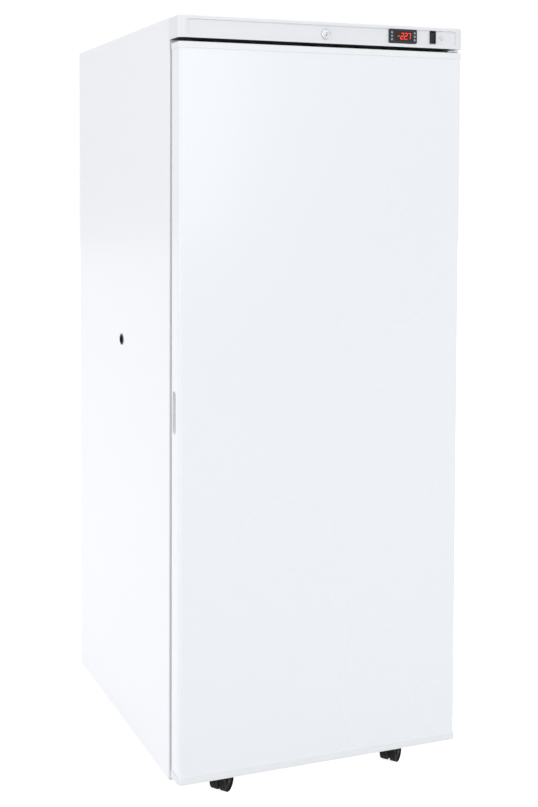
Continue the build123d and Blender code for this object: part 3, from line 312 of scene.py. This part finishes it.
def crystalline(name, colour, dark, crystal, roughness):
    # a metal surface made of small cells, each with its own tone and gloss
    metal = new_material(name)
    place = add_node(metal, "ShaderNodeTexCoord")
    crystals = add_node(
        metal, "ShaderNodeTexVoronoi", {"Scale": 1 / crystal}, {"Vector": place.outputs["Object"]}
    )
    tone = add_node(metal, "ShaderNodeSeparateColor", None, {"Color": crystals.outputs["Color"]})
    tint = add_node(
        metal,
        "ShaderNodeMix",
        {"data_type": "RGBA", 6: linear(dark), 7: linear(colour)},
        {0: tone.outputs["Red"]},
    )
    gloss = add_node(
        metal,
        "ShaderNodeMapRange",
        {"To Min": roughness - brighter_crystal, "To Max": roughness + duller_crystal},
        {"Value": tone.outputs["Green"]},
    )
    shader = add_node(
        metal,
        "ShaderNodeBsdfPrincipled",
        {"Metallic": 1.0},
        {"Base Color": tint.outputs[2], "Roughness": gloss.outputs["Result"]},
    )
    add_node(metal, "ShaderNodeOutputMaterial", None, {"Surface": shader.outputs["BSDF"]})
    return metal


galvanised = crystalline("galvanised_steel", zinc_colour, zinc_dark, spangle_size, zinc_roughness)
finish_nodes(galvanised, "back_panel", "base_pan")

# Insulation: polyurethane foam that is poured in and rises between the liner and the sheets, and fills
# the door the same way. It is a dull pale yellow mass of cells. They are drawn 1.2 mm across, coarser
# than life, so that they show, and so are the fine grains of the plastics and the rubber further on.
foam_colour = "#e3d3a0"
foam_dark = "#c9b57b"
foam_roughness = 0.9
foam_cell = 0.0012
foam_cell_depth = 0.0004
grain_octaves = 2.0
grain_strength = 0.5
mottle_scale = 14.0
mottle_octaves = 3.0
grain_share = 0.35
grained_gloss_swing = 0.06
plastic_ior = 1.5


def grained(name, colour, dark, roughness, grain, depth, share=grain_share, shader_values=None):
    # foam, rubber, plastic or a dipped coat: a fine grain over a slow mottle, both in colour and gloss
    stuff = new_material(name)
    place = add_node(stuff, "ShaderNodeTexCoord")
    specks = add_node(
        stuff,
        "ShaderNodeTexNoise",
        {"Scale": 1 / grain, "Detail": grain_octaves},
        {"Vector": place.outputs["Object"]},
    )
    cloud = add_node(
        stuff,
        "ShaderNodeTexNoise",
        {"Scale": mottle_scale, "Detail": mottle_octaves},
        {"Vector": place.outputs["Object"]},
    )
    amount = add_node(
        stuff,
        "ShaderNodeMix",
        {"data_type": "FLOAT", 0: share},
        {2: cloud.outputs["Fac"], 3: specks.outputs["Fac"]},
    )
    tint = add_node(
        stuff,
        "ShaderNodeMix",
        {"data_type": "RGBA", 6: linear(dark), 7: linear(colour)},
        {0: amount.outputs[0]},
    )
    bump = add_node(
        stuff,
        "ShaderNodeBump",
        {"Strength": grain_strength, "Distance": depth},
        {"Height": specks.outputs["Fac"]},
    )
    gloss = add_node(
        stuff,
        "ShaderNodeMapRange",
        {"To Min": roughness - grained_gloss_swing, "To Max": roughness + grained_gloss_swing},
        {"Value": cloud.outputs["Fac"]},
    )
    shader = add_node(
        stuff,
        "ShaderNodeBsdfPrincipled",
        {"IOR": plastic_ior, **(shader_values or {})},
        {
            "Base Color": tint.outputs[2],
            "Roughness": gloss.outputs["Result"],
            "Normal": bump.outputs["Normal"],
        },
    )
    add_node(stuff, "ShaderNodeOutputMaterial", None, {"Surface": shader.outputs["BSDF"]})
    return stuff


foam = grained(
    "poured_polyurethane_foam", foam_colour, foam_dark, foam_roughness, foam_cell, foam_cell_depth
)
finish_nodes(foam, "insulation_foam", "door_foam")

# Inner liner and door liner: white high-impact polystyrene sheet, drawn over a mould by vacuum. It is
# half glossy, and the slow waves of the drawn sheet show more than its grain.
liner_colour = "#eef0f1"
liner_dark = "#e6e9eb"
liner_roughness = 0.34
liner_grain = 0.004
liner_grain_depth = 0.00006
liner_grain_share = 0.2
liner_plastic = grained(
    "vacuum_formed_polystyrene",
    liner_colour,
    liner_dark,
    liner_roughness,
    liner_grain,
    liner_grain_depth,
    liner_grain_share,
)
finish_nodes(liner_plastic, "inner_liner", "door_liner")

# Access port: an injection-moulded nylon sleeve through the left wall, with a flange outside and a nut
# inside. Black and satin, with the grain of its mould, drawn 0.9 mm wide so that it shows. Its gloss is
# kept low, as on all the dark plastics and the rubber, because the white room would turn it grey.
port_colour = "#26292c"
port_dark = "#17191b"
dark_roughness = 0.5
mould_grain = 0.0009
mould_grain_depth = 0.00005
low_gloss = {"Specular IOR Level": 0.25}
black_nylon = grained(
    "moulded_black_nylon",
    port_colour,
    port_dark,
    dark_roughness,
    mould_grain,
    mould_grain_depth,
    grain_share,
    low_gloss,
)
finish_nodes(black_nylon, "access_port_sleeve")

# Evaporator shelves: each is one long steel tube, bent to and fro, with round wires brazed across it,
# and the whole dipped in white epoxy. The risers that join them at the back have the same coat, which
# is thick and satin, and slightly uneven where it ran, about every 3 mm.
epoxy_colour = "#e9ecee"
epoxy_dark = "#d6dbdf"
epoxy_roughness = 0.38
epoxy_run = 0.003
epoxy_run_depth = 0.00012
shelf_count = 5
shelf_runs = 8
shelf_tube = 0.004
shelf_wires = 17
shelf_wire = 0.0012
wire_overhang = 0.009
turn_steps = 8
tube_roundness = 3
wire_sides = 8
smooth_below_degrees = 35


def apply_place(piece):
    # the object comes to the origin, unturned, and its place goes into its mesh
    deselect()
    piece.select_set(True)
    bpy.context.view_layer.objects.active = piece
    bpy.ops.object.transform_apply(location=True, rotation=True, scale=True)


def select_edges(piece, test):
    # goes into edit mode with the edges selected whose two ends pass the test
    deselect()
    bpy.context.view_layer.objects.active = piece
    piece.select_set(True)
    bpy.ops.object.mode_set(mode="EDIT")
    bpy.ops.mesh.select_mode(type="EDGE")
    bpy.ops.mesh.select_all(action="DESELECT")
    shape = bmesh.from_edit_mesh(piece.data)
    for edge in shape.edges:
        edge.select_set(test(edge.verts[0].co, edge.verts[1].co))
    bmesh.update_edit_mesh(piece.data)


def join(first, others):
    # several objects made one mesh, in the first one's object
    deselect()
    for other in others:
        other.select_set(True)
    first.select_set(True)
    bpy.context.view_layer.objects.active = first
    bpy.ops.object.join()


def bent_tube(name, points, radius):
    # a tube along a line of points, as a mesh with closed ends
    line = bpy.data.curves.new(name, "CURVE")
    line.dimensions = "3D"
    line.bevel_depth = radius
    line.bevel_resolution = tube_roundness
    line.use_fill_caps = True
    run = line.splines.new("POLY")
    run.points.add(len(points) - 1)
    for number, point in enumerate(points):
        run.points[number].co = (*point, 1.0)
    tube = bpy.data.objects.new(name, line)
    bpy.context.scene.collection.objects.link(tube)
    deselect()
    tube.select_set(True)
    bpy.context.view_layer.objects.active = tube
    bpy.ops.object.convert(target="MESH")
    return bpy.context.view_layer.objects.active


def snake(first, last, start, end, runs):
    # points of a coil in its own plane: straight runs between start and end, with half turns
    pitch = (last - first) / (runs - 1)
    points = []
    for run in range(runs):
        place = first + run * pitch
        to_start = run % 2 == 0
        points.append((place, end if to_start else start))
        points.append((place, start if to_start else end))
        if run < runs - 1:
            turn_at = start if to_start else end
            outwards = -1 if to_start else 1
            for step in range(1, turn_steps):
                angle = pi * step / turn_steps
                points.append(
                    (place + pitch / 2 * (1 - cos(angle)), turn_at + outwards * pitch / 2 * sin(angle))
                )
    return points


def wire(radius, length):
    # a straight wire along X with slightly rounded ends
    deselect()
    bpy.ops.mesh.primitive_cylinder_add(
        vertices=wire_sides, radius=radius, depth=length, rotation=(0, pi / 2, 0)
    )
    made = bpy.context.object
    apply_place(made)
    end_rounding = radius / 3
    same_end = radius / 10
    select_edges(made, lambda a, b: abs(a.x - b.x) < same_end)
    bpy.ops.mesh.bevel(offset=end_rounding, segments=1)
    bpy.ops.object.mode_set(mode="OBJECT")
    return made


def copies(name, master, places):
    # copies of one piece, each turned and moved by its own matrix, joined under one name
    made = []
    for place in places:
        copy = bpy.data.objects.new(name, master.data.copy())
        copy.data.transform(place)
        bpy.context.scene.collection.objects.link(copy)
        made.append(copy)
    bpy.data.objects.remove(master)
    join(made[0], made[1:])
    made[0].name = name
    return made[0]


def finish_piece(piece, material, body, slot_name, *replaced):
    # a modelled piece gets smooth curves, its material, its body, and the solids that it stands for
    apply_place(piece)
    bpy.ops.object.shade_smooth_by_angle(angle=radians(smooth_below_degrees))
    piece.data.materials.clear()
    piece.data.materials.append(material)
    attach(piece, body)
    if replaced:
        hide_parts(*replaced)


white_epoxy = grained(
    "dipped_white_epoxy", epoxy_colour, epoxy_dark, epoxy_roughness, epoxy_run, epoxy_run_depth
)
finish_nodes(white_epoxy, "riser_tubes")
for number in range(1, shelf_count + 1):
    shelf_node = f"evaporator_shelf_{number}"
    shelf_low, shelf_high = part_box(shelf_node)
    shelf_half = shelf_high.x - wire_overhang
    shelf_reach = shelf_half / (shelf_runs - 1) + shelf_tube
    shelf_z = shelf_low.z + shelf_tube
    shelf_front = shelf_low.y + shelf_reach
    shelf_back = shelf_high.y - shelf_reach
    flat = snake(-shelf_half, shelf_half, shelf_front, shelf_back, shelf_runs)
    tube = bent_tube("shelf_tube", [(x, y, shelf_z) for x, y in flat], shelf_tube)
    wire_step = (shelf_back - shelf_front) / (shelf_wires - 1)
    wire_z = shelf_z + shelf_tube + shelf_wire
    wires = copies(
        "shelf_wires",
        wire(shelf_wire, 2 * shelf_high.x),
        [
            Matrix.Translation((0, shelf_front + place * wire_step, wire_z))
            for place in range(shelf_wires)
        ],
    )
    join(tube, [wires])
    tube.name = f"wire_shelf_{number}"
    finish_piece(tube, white_epoxy, "cabinet", "white_plastic", shelf_node)

# Temperature probe: a sensor in a small sleeve, pushed into a moulded clip high on the liner's right
# wall. Sleeve and clip are one solid here, so both are a plain satin grey with a fine grain.
probe_colour = "#c9ccce"
probe_dark = "#aeb2b5"
probe_roughness = 0.35
probe_grain = 0.0015
probe_grain_depth = 0.00004
probe_grey = grained(
    "satin_grey_sleeve", probe_colour, probe_dark, probe_roughness, probe_grain, probe_grain_depth
)
finish_nodes(probe_grey, "temperature_probe")

# Hinge brackets and their pins: pressed steel, zinc plated, screwed to the case. The plating is
# brighter than galvanising. Its crystals are too fine to see, so they are drawn 2.5 mm across.
plated_colour = "#c4c7c6"
plated_dark = "#a4a8a8"
plated_crystal = 0.0025
plated_roughness = 0.36
plated_steel = crystalline(
    "zinc_plated_steel", plated_colour, plated_dark, plated_crystal, plated_roughness
)
finish_nodes(plated_steel, "hinge_brackets")

# Hinge bushes: turned from white acetal rod and pressed into the door's end caps. Acetal is slightly
# waxy and warm beside the enamel. Its turning marks are drawn as a grain, 1 mm wide.
acetal_colour = "#e2e2dd"
acetal_dark = "#cfcfca"
acetal_roughness = 0.4
turning_mark = 0.001
turning_mark_depth = 0.00003
acetal = grained(
    "turned_white_acetal", acetal_colour, acetal_dark, acetal_roughness, turning_mark, turning_mark_depth
)
finish_nodes(acetal, "hinge_bushes")

# Door skin: one steel sheet folded round the front and both sides of the door, with the same baked
# enamel as the case. Its colour is a touch darker than the case's, as painted shade on the door's front,
# and it is a little glossier.
# both tones a touch darker than the case's: painted shade on the door's front
door_shaded_colour = "#f3f5f7"
door_shaded_tone = "#eff1f4"
door_roughness = 0.27
door_shaded_enamel = enamel("baked_white_enamel_door_painted_shade", door_shaded_colour, door_shaded_tone, door_roughness)
finish_nodes(door_shaded_enamel, "door_skin")

# Door end caps and grip cup: injection-moulded white ABS, snapped onto the foamed door. It is satin,
# with a light mould grain, drawn 1.1 mm wide.
abs_colour = "#f3f4f5"
abs_dark = "#eceeef"
abs_roughness = 0.36
abs_grain = 0.0011
abs_grain_depth = 0.00003
white_abs = grained("moulded_white_abs", abs_colour, abs_dark, abs_roughness, abs_grain, abs_grain_depth)
finish_nodes(white_abs, "door_top_cap", "door_bottom_cap", "grip_cup")

# Door gasket: extruded soft vinyl, blue-grey and dull, cut and welded at the corners. From the door out
# it has two lips in the groove, a narrow bellows and a bar that holds the magnet strip.
vinyl_colour = "#ccd3dd"
vinyl_dark = "#bdc5d0"
vinyl_roughness = 0.5
vinyl_grain = 0.0012
vinyl_grain_depth = 0.00004
# the section from the outer lip inwards: how far from the outer edge, and how far from the door's back
gasket_section = (
    (0.0010, 0.0), (0.0006, 0.0008), (0.0032, 0.0016), (0.0052, 0.0030), (0.0048, 0.0046),
    (0.0026, 0.0058), (0.0004, 0.0068), (0.0002, 0.0094), (0.0014, 0.0112), (0.0040, 0.0117),
    (0.0060, 0.0114), (0.0080, 0.0117), (0.0120, 0.0117), (0.0140, 0.0114), (0.0160, 0.0117),
    (0.0186, 0.0112), (0.0198, 0.0094), (0.0196, 0.0068), (0.0174, 0.0058), (0.0152, 0.0046),
    (0.0148, 0.0030), (0.0168, 0.0016), (0.0194, 0.0008), (0.0190, 0.0),
)


def shape_to_object(name, shape):
    # a finished shape, with its faces turned outwards, as an object in the scene
    bmesh.ops.recalc_face_normals(shape, faces=shape.faces)
    mesh = bpy.data.meshes.new(name)
    shape.to_mesh(mesh)
    shape.free()
    made = bpy.data.objects.new(name, mesh)
    bpy.context.scene.collection.objects.link(made)
    return made


def picture_frame(name, low, high, section):
    # a moulded strip round a rectangle with mitred corners, from its section
    shape = bmesh.new()
    rings = []
    for inset, rise in section:
        y = low.y + rise
        corners = (
            (low.x + inset, low.z + inset), (high.x - inset, low.z + inset),
            (high.x - inset, high.z - inset), (low.x + inset, high.z - inset),
        )
        rings.append([shape.verts.new((x, y, z)) for x, z in corners])
    for ring, following in zip(rings, rings[1:] + rings[:1]):
        for corner in range(len(ring)):
            other = (corner + 1) % len(ring)
            shape.faces.new((ring[corner], ring[other], following[other], following[corner]))
    return shape_to_object(name, shape)


gasket_vinyl = grained(
    "extruded_soft_vinyl", vinyl_colour, vinyl_dark, vinyl_roughness, vinyl_grain, vinyl_grain_depth
)
gasket_low, gasket_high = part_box("door_gasket")
gasket = picture_frame("magnetic_gasket", gasket_low, gasket_high, gasket_section)
finish_piece(gasket, gasket_vinyl, "door", "gasket", "door_gasket")

# Control hood and fascia: one long injection moulding with a second behind its mouth, in ABS a little
# greyer than the enamel, because a moulding takes no coat. Same light mould grain as the door's caps.
hood_colour = "#ecedef"
hood_dark = "#e6e7ea"
hood_abs = grained("moulded_hood_abs", hood_colour, hood_dark, abs_roughness, abs_grain, abs_grain_depth)
finish_nodes(hood_abs, "control_hood", "fascia_plate")

# Hood tray: a thin black sheet that closes the hood from below, set back behind the front lip. Its
# near-black colour is
# painted shade: it stands in for the shade in the slot over the door. It is cut away round the lock's cam
# and the hinge.
tray_sheet = 0.0008
tray_lip = 0.003
tray_right = 0.345
tray_corner = 0.012
tray_corner_steps = 6
cam_room = 0.003
cutter_reach = 0.01
# near-black tones of the sheet: painted shade for the slot over the door
slot_shade_colour = "#0d0e0f"
slot_shade_dark = "#090a0a"
tray_roughness = 0.6
tray_grain = 0.001
tray_grain_depth = 0.00004


def block(name, low, high):
    # a box between two corners, to be shaped further
    deselect()
    low, high = Vector(low), Vector(high)
    bpy.ops.mesh.primitive_cube_add(size=1, location=(low + high) / 2)
    piece = bpy.context.object
    piece.name = name
    piece.scale = high - low
    apply_place(piece)
    return piece


def modify(piece, kind, **settings):
    # one modifier, set and applied
    deselect()
    piece.select_set(True)
    bpy.context.view_layer.objects.active = piece
    modifier = piece.modifiers.new(kind.lower(), kind)
    for name, value in settings.items():
        setattr(modifier, name, value)
    bpy.ops.object.modifier_apply(modifier=modifier.name)


hood_low, hood_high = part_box("control_hood")
hood_middle_y = (hood_low.y + hood_high.y) / 2
cam_low, cam_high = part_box("lock_cam")
cam_half = (cam_high.z - cam_low.z) / 2
tray = block(
    "hood_shade_tray",
    (hood_low.x + tray_lip, hood_low.y + tray_lip, hood_low.z - tray_sheet),
    (tray_right, hood_high.y - tray_lip, hood_low.z),
)
select_edges(tray, lambda a, b: abs(a.z - b.z) > tray_sheet / 2 and a.y < hood_middle_y and a.x < 0)
bpy.ops.mesh.bevel(offset=tray_corner, segments=tray_corner_steps)
bpy.ops.object.mode_set(mode="OBJECT")
cam_way = block(
    "cam_way",
    (-cam_half - cam_room, cam_low.y - cam_room, hood_low.z - cutter_reach),
    (cam_high.x + cam_room, cam_high.y + cam_room, hood_low.z + cutter_reach),
)
modify(tray, "BOOLEAN", operation="DIFFERENCE", object=cam_way)
bpy.data.objects.remove(cam_way)
# the sheet's material: painted shade in near black, with a fine grain
slot_shade_material = grained(
    "painted_slot_shade_black", slot_shade_colour, slot_shade_dark, tray_roughness, tray_grain, tray_grain_depth
)
finish_piece(tray, slot_shade_material, "cabinet", "black_plastic")

# Cam lock: a zinc die casting, machined and chrome plated, held in the fascia by its flange, with a
# zinc-plated steel cam on its tail. The chrome is bright, with a slight change of tone every 6 mm.
chrome_colour = "#dfe2e4"
chrome_dark = "#c6cacd"
chrome_patch = 0.006
chrome_roughness = 0.16
chrome = crystalline("bright_chrome_plate", chrome_colour, chrome_dark, chrome_patch, chrome_roughness)
finish_nodes(chrome, "lock_housing", "lock_cylinder")
finish_nodes(plated_steel, "lock_cam")

# Temperature controller: a dark grey ABS bezel on a black nylon body that clips into the fascia. Both
# are mouldings, and the bezel is as matt as the access port and has the same grain.
bezel_colour = "#34383c"
bezel_dark = "#2b2f33"
bezel_abs = grained(
    "moulded_grey_abs",
    bezel_colour,
    bezel_dark,
    dark_roughness,
    mould_grain,
    mould_grain_depth,
    grain_share,
    low_gloss,
)
finish_nodes(bezel_abs, "controller_bezel")
finish_nodes(black_nylon, "controller_body")

# Display window: a flat piece cut from cast black acrylic and glued into the bezel. It is glossy, with
# only a faint slow wave in it, and so dark that nothing but lit segments shows through.
acrylic_colour = "#0b0809"
acrylic_dark = "#070506"
acrylic_roughness = 0.12
acrylic_wave = 0.01
acrylic_wave_depth = 0.000005
window_acrylic = grained(
    "cast_black_acrylic", acrylic_colour, acrylic_dark, acrylic_roughness, acrylic_wave, acrylic_wave_depth
)
finish_nodes(window_acrylic, "display_window")

# Digits: four places of light-emitting segments, leaning to the right. On the real one they lie behind
# the window, and here they stand a hair in front of it. They glow in one strong red, finely speckled.
digit_height = 0.0145
digit_width = 0.0072
digit_pitch = 0.0098
digits_from_left = 0.0085
digits_raise = 0.0002
digit_lean = 0.16
digit_rise = 0.0003
digit_fill = 0.8
digit_thickness = digit_rise * digit_fill
segment_width = 0.0018
segment_gap = 0.0003
red_colour = "#ff1a10"
red_bright = "#ff3a24"
red_roughness = 0.3
red_speck_scale = 700.0
red_speck_octaves = 1.0
red_strength = 1.0
# the lit segments of each place: a at the top, then clockwise to f, with g across the middle
lit_places = ("g", "abdeg", "abdeg.", "abc")
half_tall = digit_height / 2
segment_lines = {
    "a": ((0, half_tall), (1, half_tall)),
    "b": ((1, half_tall), (1, 0)),
    "c": ((1, 0), (1, -half_tall)),
    "d": ((0, -half_tall), (1, -half_tall)),
    "e": ((0, 0), (0, -half_tall)),
    "f": ((0, half_tall), (0, 0)),
    "g": ((0, 0), (1, 0)),
}


def segment(start, end):
    # one bar with pointed ends, in the window's plane
    start, end = Vector(start), Vector(end)
    along = (end - start).normalized()
    across = Vector((-along.y, along.x)) * segment_width / 2
    start += along * segment_gap
    end -= along * segment_gap
    tip = along * segment_width / 2
    outline = (
        start, start + tip + across, end - tip + across,
        end, end - tip - across, start + tip - across,
    )
    return [(point.x + point.y * digit_lean, point.y) for point in outline]


def point_mark(left):
    # the square decimal point at the foot of a digit
    middle = left + digit_width + segment_width - half_tall * digit_lean
    half = segment_width / 2
    corners = ((-1, -1), (1, -1), (1, 1), (-1, 1))
    return [(middle + x * half, -half_tall + z * half) for x, z in corners]


window_low, window_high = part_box("display_window")
digits_start = window_low.x + digits_from_left
digits_y = window_low.y - digit_rise
digits_z = (window_low.z + window_high.z) / 2 + digits_raise
shape = bmesh.new()
for place, lit in enumerate(lit_places):
    left = digits_start + place * digit_pitch
    for letter in lit:
        if letter == ".":
            outline = point_mark(left)
        else:
            (x0, z0), (x1, z1) = segment_lines[letter]
            bar = segment((x0 * digit_width, z0), (x1 * digit_width, z1))
            outline = [(left + x, z) for x, z in bar]
        shape.faces.new([shape.verts.new((x, digits_y, digits_z + z)) for x, z in outline])
digits = shape_to_object("display_digits", shape)
modify(digits, "SOLIDIFY", thickness=digit_thickness, offset=0.0)
digit_glow = new_material("lit_red_segments")
glow_place = add_node(digit_glow, "ShaderNodeTexCoord")
glow_specks = add_node(
    digit_glow,
    "ShaderNodeTexNoise",
    {"Scale": red_speck_scale, "Detail": red_speck_octaves},
    {"Vector": glow_place.outputs["Object"]},
)
glow_tint = add_node(
    digit_glow,
    "ShaderNodeMix",
    {"data_type": "RGBA", 6: linear(red_colour), 7: linear(red_bright)},
    {0: glow_specks.outputs["Fac"]},
)
glow_shader = add_node(
    digit_glow,
    "ShaderNodeBsdfPrincipled",
    {"Roughness": red_roughness, "Emission Strength": red_strength},
    {"Base Color": glow_tint.outputs[2], "Emission Color": glow_tint.outputs[2]},
)
add_node(digit_glow, "ShaderNodeOutputMaterial", None, {"Surface": glow_shader.outputs["BSDF"]})
finish_piece(digits, digit_glow, "cabinet", "display")

# Controller keys: six small caps of grey silicone rubber, moulded and set behind the bezel. They are
# dull and soft, with a fine grain, drawn 0.8 mm wide.
key_count = 6
silicone_colour = "#a9adb1"
silicone_dark = "#989ca1"
silicone_roughness = 0.5
silicone_grain = 0.0008
silicone_grain_depth = 0.00004
key_silicone = grained(
    "moulded_grey_silicone",
    silicone_colour,
    silicone_dark,
    silicone_roughness,
    silicone_grain,
    silicone_grain_depth,
)
finish_nodes(key_silicone, *[f"controller_button_{number}" for number in range(1, key_count + 1)])

# Rocker switch: a nylon housing that snaps into the fascia, and a rocker that tilts in its window.
# Both are moulded in the same black nylon as the access port.
finish_nodes(black_nylon, "switch_housing", "switch_rocker")

# Pilot lamp: a small polycarbonate moulding, body and lens in one, clipped into the fascia. It is
# milky and unlit, and glossier than the hood round it.
lamp_colour = "#e6e9ec"
lamp_dark = "#d6dadf"
lamp_roughness = 0.22
lamp_grain = 0.002
lamp_grain_depth = 0.00002
milky_polycarbonate = grained(
    "moulded_milky_polycarbonate", lamp_colour, lamp_dark, lamp_roughness, lamp_grain, lamp_grain_depth
)
finish_nodes(milky_polycarbonate, "pilot_lamp")

# Compressor, condenser and clips: steel, welded and then sprayed with black lacquer, a thin satin coat
# that ripples slightly, about every 2 mm. The condenser is one long tube bent to and fro, with wires
# welded along the back and the front of it to spread the heat.
lacquer_colour = "#1b1c1e"
lacquer_dark = "#101113"
lacquer_roughness = 0.38
lacquer_ripple = 0.002
lacquer_ripple_depth = 0.00008
coil_runs = 13
coil_tube = 0.0024
coil_wires = 17
coil_wire = 0.0008
coil_wire_overhang = 0.014
coil_wire_inset = 0.008
black_lacquer = grained(
    "sprayed_black_lacquer",
    lacquer_colour,
    lacquer_dark,
    lacquer_roughness,
    lacquer_ripple,
    lacquer_ripple_depth,
)
finish_nodes(black_lacquer, "compressor", "condenser_brackets")
coil_low, coil_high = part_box("condenser_coil")
coil_bottom = coil_low.z + coil_wire_overhang
coil_top = coil_high.z - coil_wire_overhang
coil_reach = (coil_top - coil_bottom) / (coil_runs - 1) / 2 + coil_tube
coil_half = coil_high.x - coil_reach
coil_y = (coil_low.y + coil_high.y) / 2
# the first run goes from left to right, so the coil is drawn from its right end and mirrored
flat = snake(coil_bottom, coil_top, -coil_half, coil_half, coil_runs)
coil = bent_tube("coil_tube", [(-x, coil_y, z) for z, x in flat], coil_tube)
coil_wire_half = coil_half - coil_wire_inset
coil_wire_step = 2 * coil_wire_half / (coil_wires - 1)
coil_wire_turn = Matrix.Rotation(pi / 2, 4, "Y")
coil_wire_places = []
for side in (-1, 1):
    for place in range(coil_wires):
        wire_place = (
            -coil_half + coil_wire_inset + place * coil_wire_step,
            coil_y + side * (coil_tube + coil_wire),
            (coil_bottom + coil_top) / 2,
        )
        coil_wire_places.append(Matrix.Translation(wire_place) @ coil_wire_turn)
coil_wire_set = copies("coil_wires", wire(coil_wire, coil_high.z - coil_low.z), coil_wire_places)
join(coil, [coil_wire_set])
coil.name = "wire_condenser"
finish_piece(coil, black_lacquer, "cabinet", "black_steel", "condenser_coil")

# Refrigerant lines and filter drier: drawn copper tube, bent and brazed, and a spun copper can. Bare
# copper, darkened a little by handling, in patches about 30 mm across.
copper_colour = "#b8754f"
copper_dark = "#96603f"
copper_patch = 0.03
copper_roughness = 0.34
copper = crystalline("drawn_copper", copper_colour, copper_dark, copper_patch, copper_roughness)
finish_nodes(copper, "filter_drier", "refrigerant_lines")

# Condensate tray: a small white ABS pan that sits loosely on the warm dome. The relay cover and the
# power inlet are black nylon mouldings, clipped to the compressor and screwed to the base pan.
finish_nodes(white_abs, "condensate_tray")
finish_nodes(black_nylon, "relay_cover", "power_inlet")

# Compressor mounts: four rubber feet, moulded in dull black, that the compressor stands on. Their grain
# is drawn 1.2 mm wide, and the castors' wheels further on have the same finish.
rubber_colour = "#141517"
rubber_dark = "#0c0d0e"
rubber_roughness = 0.7
rubber_grain = 0.0012
rubber_grain_depth = 0.0001
mount_rubber = grained(
    "moulded_black_rubber",
    rubber_colour,
    rubber_dark,
    rubber_roughness,
    rubber_grain,
    rubber_grain_depth,
    grain_share,
    low_gloss,
)
finish_nodes(mount_rubber, "compressor_mounts")

# Castors: each has a zinc-plated plate with a kingpin under the base pan, a black nylon housing that
# swivels on it, and a pair of wheels in black rubber. The nylon is glossier than the rubber.
castor_count = 4
castor_colour = "#131416"
castor_dark = "#0b0c0d"
castor_nylon = grained(
    "moulded_castor_nylon",
    castor_colour,
    castor_dark,
    dark_roughness,
    mould_grain,
    mould_grain_depth,
    grain_share,
    low_gloss,
)
finish_nodes(plated_steel, "castor_plates")
for number in range(1, castor_count + 1):
    finish_nodes(castor_nylon, f"castor_{number}_housing")
    finish_nodes(mount_rubber, f"castor_{number}_wheels")

# Plain view of the colours.
bpy.context.scene.view_settings.view_transform = "Standard"
